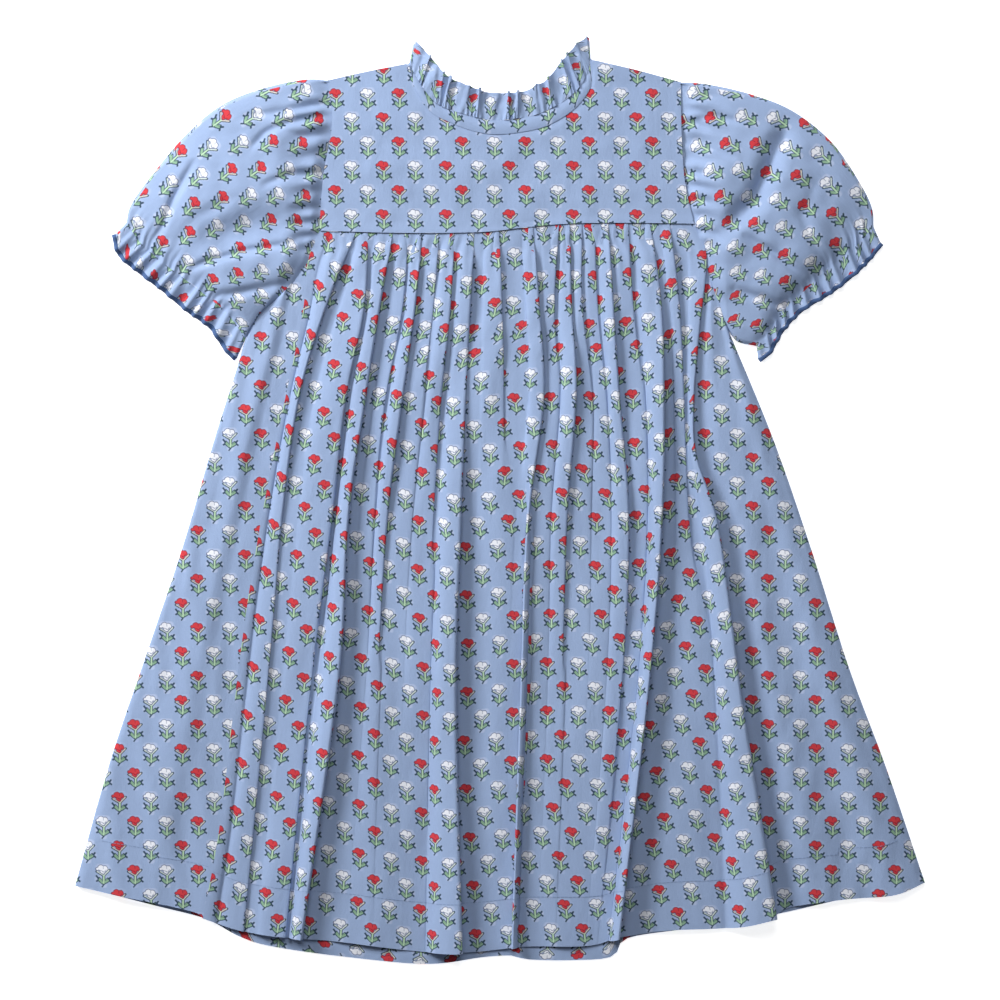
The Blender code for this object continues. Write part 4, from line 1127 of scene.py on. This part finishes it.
def build_sleeve(side, label, creases, seed):
    """One puffed sleeve with its frill and binding."""
    elastic = ELASTIC_LEFT if side < 0 else ELASTIC_RIGHT
    outer = SLEEVE_TOP_LEFT if side < 0 else SLEEVE_TOP_RIGHT
    underarm = SIDE_EDGE_LEFT[:2] if side < 0 else UNDERARM_EDGE_RIGHT
    frill_edge = FRILL_EDGE_LEFT if side < 0 else FRILL_EDGE_RIGHT
    body_clear = side * 0.2 * CURVED_SEAM_GAP
    start = moved_aside(armhole_path(side), -side * SEAM_LAP)
    end = smooth_path(elastic[:-1] + shifted(elastic[-1:], body_clear))
    low = smooth_path([tuple(start(0.0))] + outer[1:])
    high = smooth_path([tuple(start(1.0))] + shifted(underarm[1:], body_clear))
    plan = patch(start, end, low, high)

    def crown(u, v, point):
        near_top = 1.0 - ease(v / 0.26)
        near_cuff = ease((v - 0.74) / 0.26)
        sides = ease(7 * u) * ease(7 * (1 - u))
        body = 9.0 * math.sin(math.pi * u) ** 0.7 * (1.0 - 0.75 * near_top) * (1.0 - 0.6 * near_cuff)
        phase = TURN * SLEEVE_GATHERS * u + 2.0 * ripple(u * 5, v * 2, seed)
        gathers = 1.5 * near_top * ease((0.72 - u) / 0.1) * math.cos(phase * 1.9)
        wide = 2.2 * ripple(point.x / 28, point.y / 28, seed + 2.0)
        wide += 1.0 * ripple(point.x / 12, point.y / 12, seed + 3.0)
        dents = crease_height(Vector((point.x, point.y)), creases)
        rise = body + (gathers + wide + dents) * sides
        at_cuff = cuff_rise(u, 0.0)
        rise += (at_cuff - rise) * ease((v - 0.80) / 0.20) ** 2
        under_seam = between(SEAM_SHARES, SEAM_RISES, u) - LAYER - SEAM_DROP
        rise = under_seam + (rise - under_seam) * ease(v / 0.07)
        return 0.0, 0.0, max(rise, -2.2)

    def cuff_rise(u, v):
        """Height of the frill's gathers over the flat cuff."""
        phase = TURN * CUFF_GATHERS * u + 2.5 * ripple(u * 7, 0.0, seed + 1.0)
        sides = ease(7 * u) * ease(7 * (1 - u))
        narrow = math.cos(2.0 * phase + 1.0) * (1.0 - v)
        return 0.3 + sides * (math.cos(phase) * (0.7 + 1.5 * v) + 0.5 * narrow)

    length = (plan(0.5, 1.0) - plan(0.5, 0.0)).length
    pivot = Vector((side * PRINT_PIVOT[0], PRINT_PIVOT[1]))

    def cut_place(point, v, across, edge, beyond):
        """The print turns round a far pivot, so that it leans more towards the shoulder."""
        arm = Vector((point.x, point.y)) - pivot
        reach = (edge.xy - pivot).length - beyond if beyond else arm.length
        return side * reach, math.atan2(arm.y, side * arm.x) * PRINT_RADIUS

    piece = build_tube("sleeve_" + label + "_cloth", plan, 72, crown, cut_place, PRINTED,
                       turn_over=side < 0)
    settle(piece, "sleeve_" + label)

    edge = smooth_path(frill_edge)
    frill_start = moved_aside(end, -side * 0.2 * SEAM_LAP)
    frill_end = moved_aside(edge, -side * (BINDING_WIDTH - 0.3 * SEAM_LAP))
    frill_plan = patch(frill_start, frill_end, straight(frill_start(0.0), frill_end(0.0)),
                       straight(frill_start(1.0), frill_end(1.0)))

    def frill_crown(u, v, point):
        phase = TURN * CUFF_GATHERS * u + 2.5 * ripple(u * 7, 0.0, seed + 1.0)
        sides = ease(7 * u) * ease(7 * (1 - u))
        outward = (plan(u, 1.0) - plan(u, 0.9)).normalized() * 0.5 * math.cos(phase) * sides * v
        return outward.x, outward.y, max(cuff_rise(u, v), -1.6)

    def frill_cut(point, v, across, edge, beyond):
        return -side * across * 1.35, -length * 1.05 - v * 10.0

    piece = build_tube("cuff_frill_" + label + "_cloth", frill_plan, 10, frill_crown, frill_cut,
                       PRINTED, turn_over=side < 0)
    settle(piece, "cuff_frill_" + label)

    bind_start = moved_aside(edge, -side * BINDING_WIDTH)
    bind_plan = patch(bind_start, edge, straight(bind_start(0.0), edge(0.0)),
                      straight(bind_start(1.0), edge(1.0)))

    def bind_crown(u, v, point):
        x, y, z = frill_crown(u, 1.0, point)
        return x, y, z + 0.5 - 0.9 * (2.0 * v - 1.0) ** 2

    def bind_cut(point, v, across, edge, beyond):
        return -side * across, v * 3.0

    piece = build_tube("cuff_binding_" + label + "_tape", bind_plan, 4, bind_crown, bind_cut,
                       BINDING, turn_over=side < 0, thickness=TAPE_THICKNESS)
    settle(piece, "cuff_binding_" + label)


# the neck


def neck_strip(name, seam, top, front_steps, back_steps, rows, height, back_top, fullness):
    """A strip round the neck: back half, bend at each shoulder, front, and back again."""
    end_share = BEND / seam.length
    half_gap = (0.5 * BUTTON_DIAMETER + CURVED_SEAM_GAP) / seam.length
    stops = []
    for k in range(back_steps + 1):
        stops.append((0.5 - half_gap - (0.5 - half_gap - end_share) * k / back_steps, "back", 0.0))
    for k in range(1, BEND_STEPS):
        stops.append((0.0, "bend", k / BEND_STEPS))
    for k in range(front_steps + 1):
        stops.append((end_share + (1 - 2 * end_share) * k / front_steps, "front", 0.0))
    for k in range(1, BEND_STEPS):
        stops.append((1.0, "bend", 1.0 - k / BEND_STEPS))
    for k in range(back_steps + 1):
        stops.append((1 - end_share - (0.5 - half_gap - end_share) * k / back_steps, "back", 0.0))

    def spot(i, v):
        share, where, turn = stops[i]
        if where == "bend":
            angle = math.pi * (turn - 0.5)
            reach = end_share * (1.0 - math.cos(angle))
            share = reach if share < 0.5 else 1.0 - reach
            z = BEND + BEND * math.sin(angle)
        elif where == "front":
            z = height(share, v)
        else:
            z = 0.0
        upper = top(share) if where == "front" else back_top(share)
        if where == "bend":
            upper = back_top(share).lerp(top(share), turn)
        point = seam(share).lerp(upper, v)
        return Vector((point.x, point.y, z))

    table = []
    for j in range(rows + 1):
        points = [spot(i, j / rows) for i in range(len(stops))]
        run = [0.0]
        for a, b in zip(points, points[1:]):
            run.append(run[-1] + (b - a).length)
        low = [spot(i, 0.0) for i in range(len(stops))]
        row = []
        for i, point in enumerate(points):
            up = math.hypot(point.x - low[i].x, point.y - low[i].y)
            row.append((point, ((run[i] - 0.5 * run[-1]) * fullness, up)))
        table.append(row)
    return cloth(name, len(stops) - 1, rows, lambda i, j: table[j][i], PRINTED)


def build_neck():
    """The neckband and the gathered frill on it."""
    seam = smooth_path(NECK_SEAM)
    band_top = smooth_path(BAND_TOP)

    def band_height(share, v):
        inward = ease(8 * share) * ease(8 * (1 - share))
        base = LAYER + (YOKE_RISE - LAYER) * inward
        return base + (0.55 + 0.6 * math.sin(math.pi * v) - 0.1 * v) * inward

    piece = neck_strip("neckband_cloth", seam, band_top, 160, 60, 8, band_height, band_top, 1.0)
    settle(piece, "neckband")

    frill_seam = moved_aside(band_top, 0.2 * SEAM_GAP)
    frill_top = smooth_path(FRILL_TOP)
    lowered = moved_aside(frill_top, -BACK_FRILL_SHORT)

    def wave_phase(share, v):
        return TURN * (NECK_FRILL_WAVES * share + 0.9 * ripple(share * 11, 0.3 * v, 4.4))

    def frill_height(share, v):
        inward = ease(8 * share) * ease(8 * (1 - share))
        phase = wave_phase(share, v)
        crest = 0.5 - 0.5 * math.cos(phase + 0.7 * math.sin(phase))
        tall = 0.65 + 0.5 * ripple(share * 23, 0.0, 8.8)
        narrow = math.sin(2.9 * phase + 1.0) * (1.0 - ease(v / 0.5))
        rise = 5.2 * tall * crest * (0.30 + 0.70 * v) + 0.5 * narrow
        rise += 0.6 * ripple(share * 40, v * 3, 2.9)
        return LAYER + (YOKE_RISE - LAYER) * inward + 0.4 * inward + rise * inward

    def ruffled_top(share):
        point = frill_top(share)
        step = 0.004
        along = (frill_top(share + step) - frill_top(share - step)).normalized()
        phase = wave_phase(share, 1.0)
        outward = Vector((-along.y, along.x))
        reach = 0.8 * ripple(share * 17, 0.0, 6.6) - 0.6 * math.cos(phase)
        return point + outward * reach + along * 1.8 * math.sin(phase)

    piece = neck_strip("neck_frill_cloth", frill_seam, ruffled_top, 24 * NECK_FRILL_WAVES, 90, 14,
                       frill_height, lowered, 1.35)
    settle(piece, "neck_frill")


# sewing


def sew_run(name, line):
    """A row of stitches: short threads that lie along a line of points."""
    run = [0.0]
    for a, b in zip(line, line[1:]):
        run.append(run[-1] + (b - a).length)
    threads = bmesh.new()
    k = 0
    for step in range(int(run[-1] / STITCH_PITCH)):
        middle = (step + 0.5) * STITCH_PITCH
        while k < len(run) - 2 and run[k + 1] < middle:
            k += 1
        span = line[k + 1] - line[k]
        spot = line[k] + span * ((middle - run[k]) / max(span.length, 1e-6))
        spot = spot + Vector((0.0, 0.0, 0.3 * THREAD_RADIUS))
        thread = bmesh.ops.create_cube(threads, size=1.0)["verts"]
        turn = span.to_track_quat("X", "Z").to_matrix().to_4x4()
        bmesh.ops.scale(threads, verts=thread, vec=(STITCH_LENGTH * MM, 2 * THREAD_RADIUS * MM,
                                                    THREAD_RADIUS * MM))
        bmesh.ops.transform(threads, verts=thread, matrix=turn)
        bmesh.ops.translate(threads, verts=thread, vec=spot * MM)
    mesh = bpy.data.meshes.new(name)
    threads.to_mesh(mesh)
    threads.free()
    mesh.materials.append(THREAD)
    piece = bpy.data.objects.new(name, mesh)
    bpy.context.scene.collection.objects.link(piece)
    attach(piece, "root")


def sew_hem(name, table, columns):
    """The stitches that hold the turned-up hem, a hem's depth above the edge."""
    line = []
    for i in columns:
        hem_y = table[-1][i][0].y
        for upper, lower in zip(table[-2::-1], table[:0:-1]):
            if upper[i][0].y - hem_y >= HEM_DEPTH:
                line.append(upper[i][0] + Vector((0.0, 0.0, 0.1)))
                break
    sew_run(name, line)


def build_button():
    """The button between the neckband's ends: a turned disc with a rim."""
    seam = smooth_path(NECK_SEAM)(0.5)
    top = smooth_path(BAND_TOP)(0.5)
    centre = seam.lerp(top, 0.55)
    radius = 0.5 * BUTTON_DIAMETER
    profile = ((0.0, 0.35), (0.52, 0.35), (0.62, 0.05), (0.80, 0.0), (0.95, 0.15), (1.0, 0.5),
               (0.95, 0.85), (0.80, 1.0), (0.0, 1.0))
    disc = bmesh.new()
    ring = [disc.verts.new((radius * across * MM, 0.0, BUTTON_THICKNESS * up * MM))
            for across, up in profile]
    edges = [disc.edges.new(pair) for pair in zip(ring, ring[1:])]
    bmesh.ops.spin(disc, geom=ring + edges, cent=(0, 0, 0), axis=(0, 0, 1), angle=TURN,
                   steps=40, use_merge=True)
    bmesh.ops.remove_doubles(disc, verts=disc.verts, dist=0.00001)
    bmesh.ops.recalc_face_normals(disc, faces=disc.faces)
    bmesh.ops.translate(disc, verts=disc.verts, vec=Vector((centre.x, centre.y, 0.0)) * MM)
    mesh = bpy.data.meshes.new("back_button_turned")
    disc.to_mesh(mesh)
    disc.free()
    mesh.shade_smooth()
    mesh.materials.append(RESIN)
    button = bpy.data.objects.new("back_button_turned", mesh)
    bpy.context.scene.collection.objects.link(button)
    settle(button, "back_button")


# surroundings


def build_floor():
    """A plain white floor that glows a little, so that it takes hardly any shadow."""
    mesh = bpy.data.meshes.new("floor")
    plate = bmesh.new()
    bmesh.ops.create_grid(plate, x_segments=1, y_segments=1, size=4.0)
    bmesh.ops.translate(plate, verts=plate.verts, vec=(0.0, 0.0, -0.0005))
    plate.to_mesh(mesh)
    plate.free()
    floor = bpy.data.objects.new("floor", mesh)
    bpy.context.scene.collection.objects.link(floor)
    finish = bpy.data.materials.new("white_floor")
    finish.use_nodes = True
    shader = finish.node_tree.nodes["Principled BSDF"]
    shader.inputs["Base Color"].default_value = (0.85, 0.85, 0.85, 1.0)
    shader.inputs["Roughness"].default_value = 0.9
    shader.inputs["Emission Color"].default_value = (1.0, 1.0, 1.0, 1.0)
    shader.inputs["Emission Strength"].default_value = FLOOR_GLOW
    mesh.materials.append(finish)


def add_lamp(name, place, size, power):
    """A soft square lamp that faces the dress."""
    lamp = bpy.data.lights.new(name, "AREA")
    lamp.energy = power
    lamp.size = size
    holder = bpy.data.objects.new(name, lamp)
    holder.location = place
    holder.rotation_euler = (-Vector(place)).to_track_quat("-Z", "Y").to_euler()
    bpy.context.scene.collection.objects.link(holder)


def light_scene():
    """Soft studio light, stronger from the upper left."""
    add_lamp("key_lamp", (-1.40, 1.0, 0.95), 0.7, 45.0)
    add_lamp("top_lamp", (0.0, 1.1, 1.5), 1.0, 16.0)
    world = bpy.data.worlds.new("studio")
    world.use_nodes = True
    world.node_tree.nodes["Background"].inputs["Color"].default_value = (1.0, 1.0, 1.0, 1.0)
    world.node_tree.nodes["Background"].inputs["Strength"].default_value = WORLD_STRENGTH
    bpy.context.scene.world = world


def add_camera():
    """A camera straight above, whose view is 650 mm wide at the dress."""
    camera = bpy.data.cameras.new("camera")
    camera.lens = 144.0
    camera.sensor_width = 36.0
    camera.clip_end = 10.0
    holder = bpy.data.objects.new("camera", camera)
    holder.location = (0.0, 0.0, 2.604)
    bpy.context.scene.collection.objects.link(holder)
    bpy.context.scene.camera = holder


BACK_TABLE = build_skirt_back()
FRONT_TABLE = build_skirt_front()
sew_hem("hem_stitches_front", FRONT_TABLE, range(len(FRONT_TABLE[0])))
sew_hem("hem_stitches_left", BACK_TABLE, range(2, PANEL_STEPS))
sew_hem("hem_stitches_right", BACK_TABLE, range(len(BACK_TABLE[0]) - PANEL_STEPS,
                                                len(BACK_TABLE[0]) - 2))
build_yoke_front()
build_yoke_backs()
build_sleeve(-1, "left", SLEEVE_CREASES_LEFT, 1.3)
build_sleeve(1, "right", SLEEVE_CREASES_RIGHT, 7.9)
build_neck()
build_button()
build_floor()
light_scene()
add_camera()
bpy.context.scene.view_settings.view_transform = "Standard"
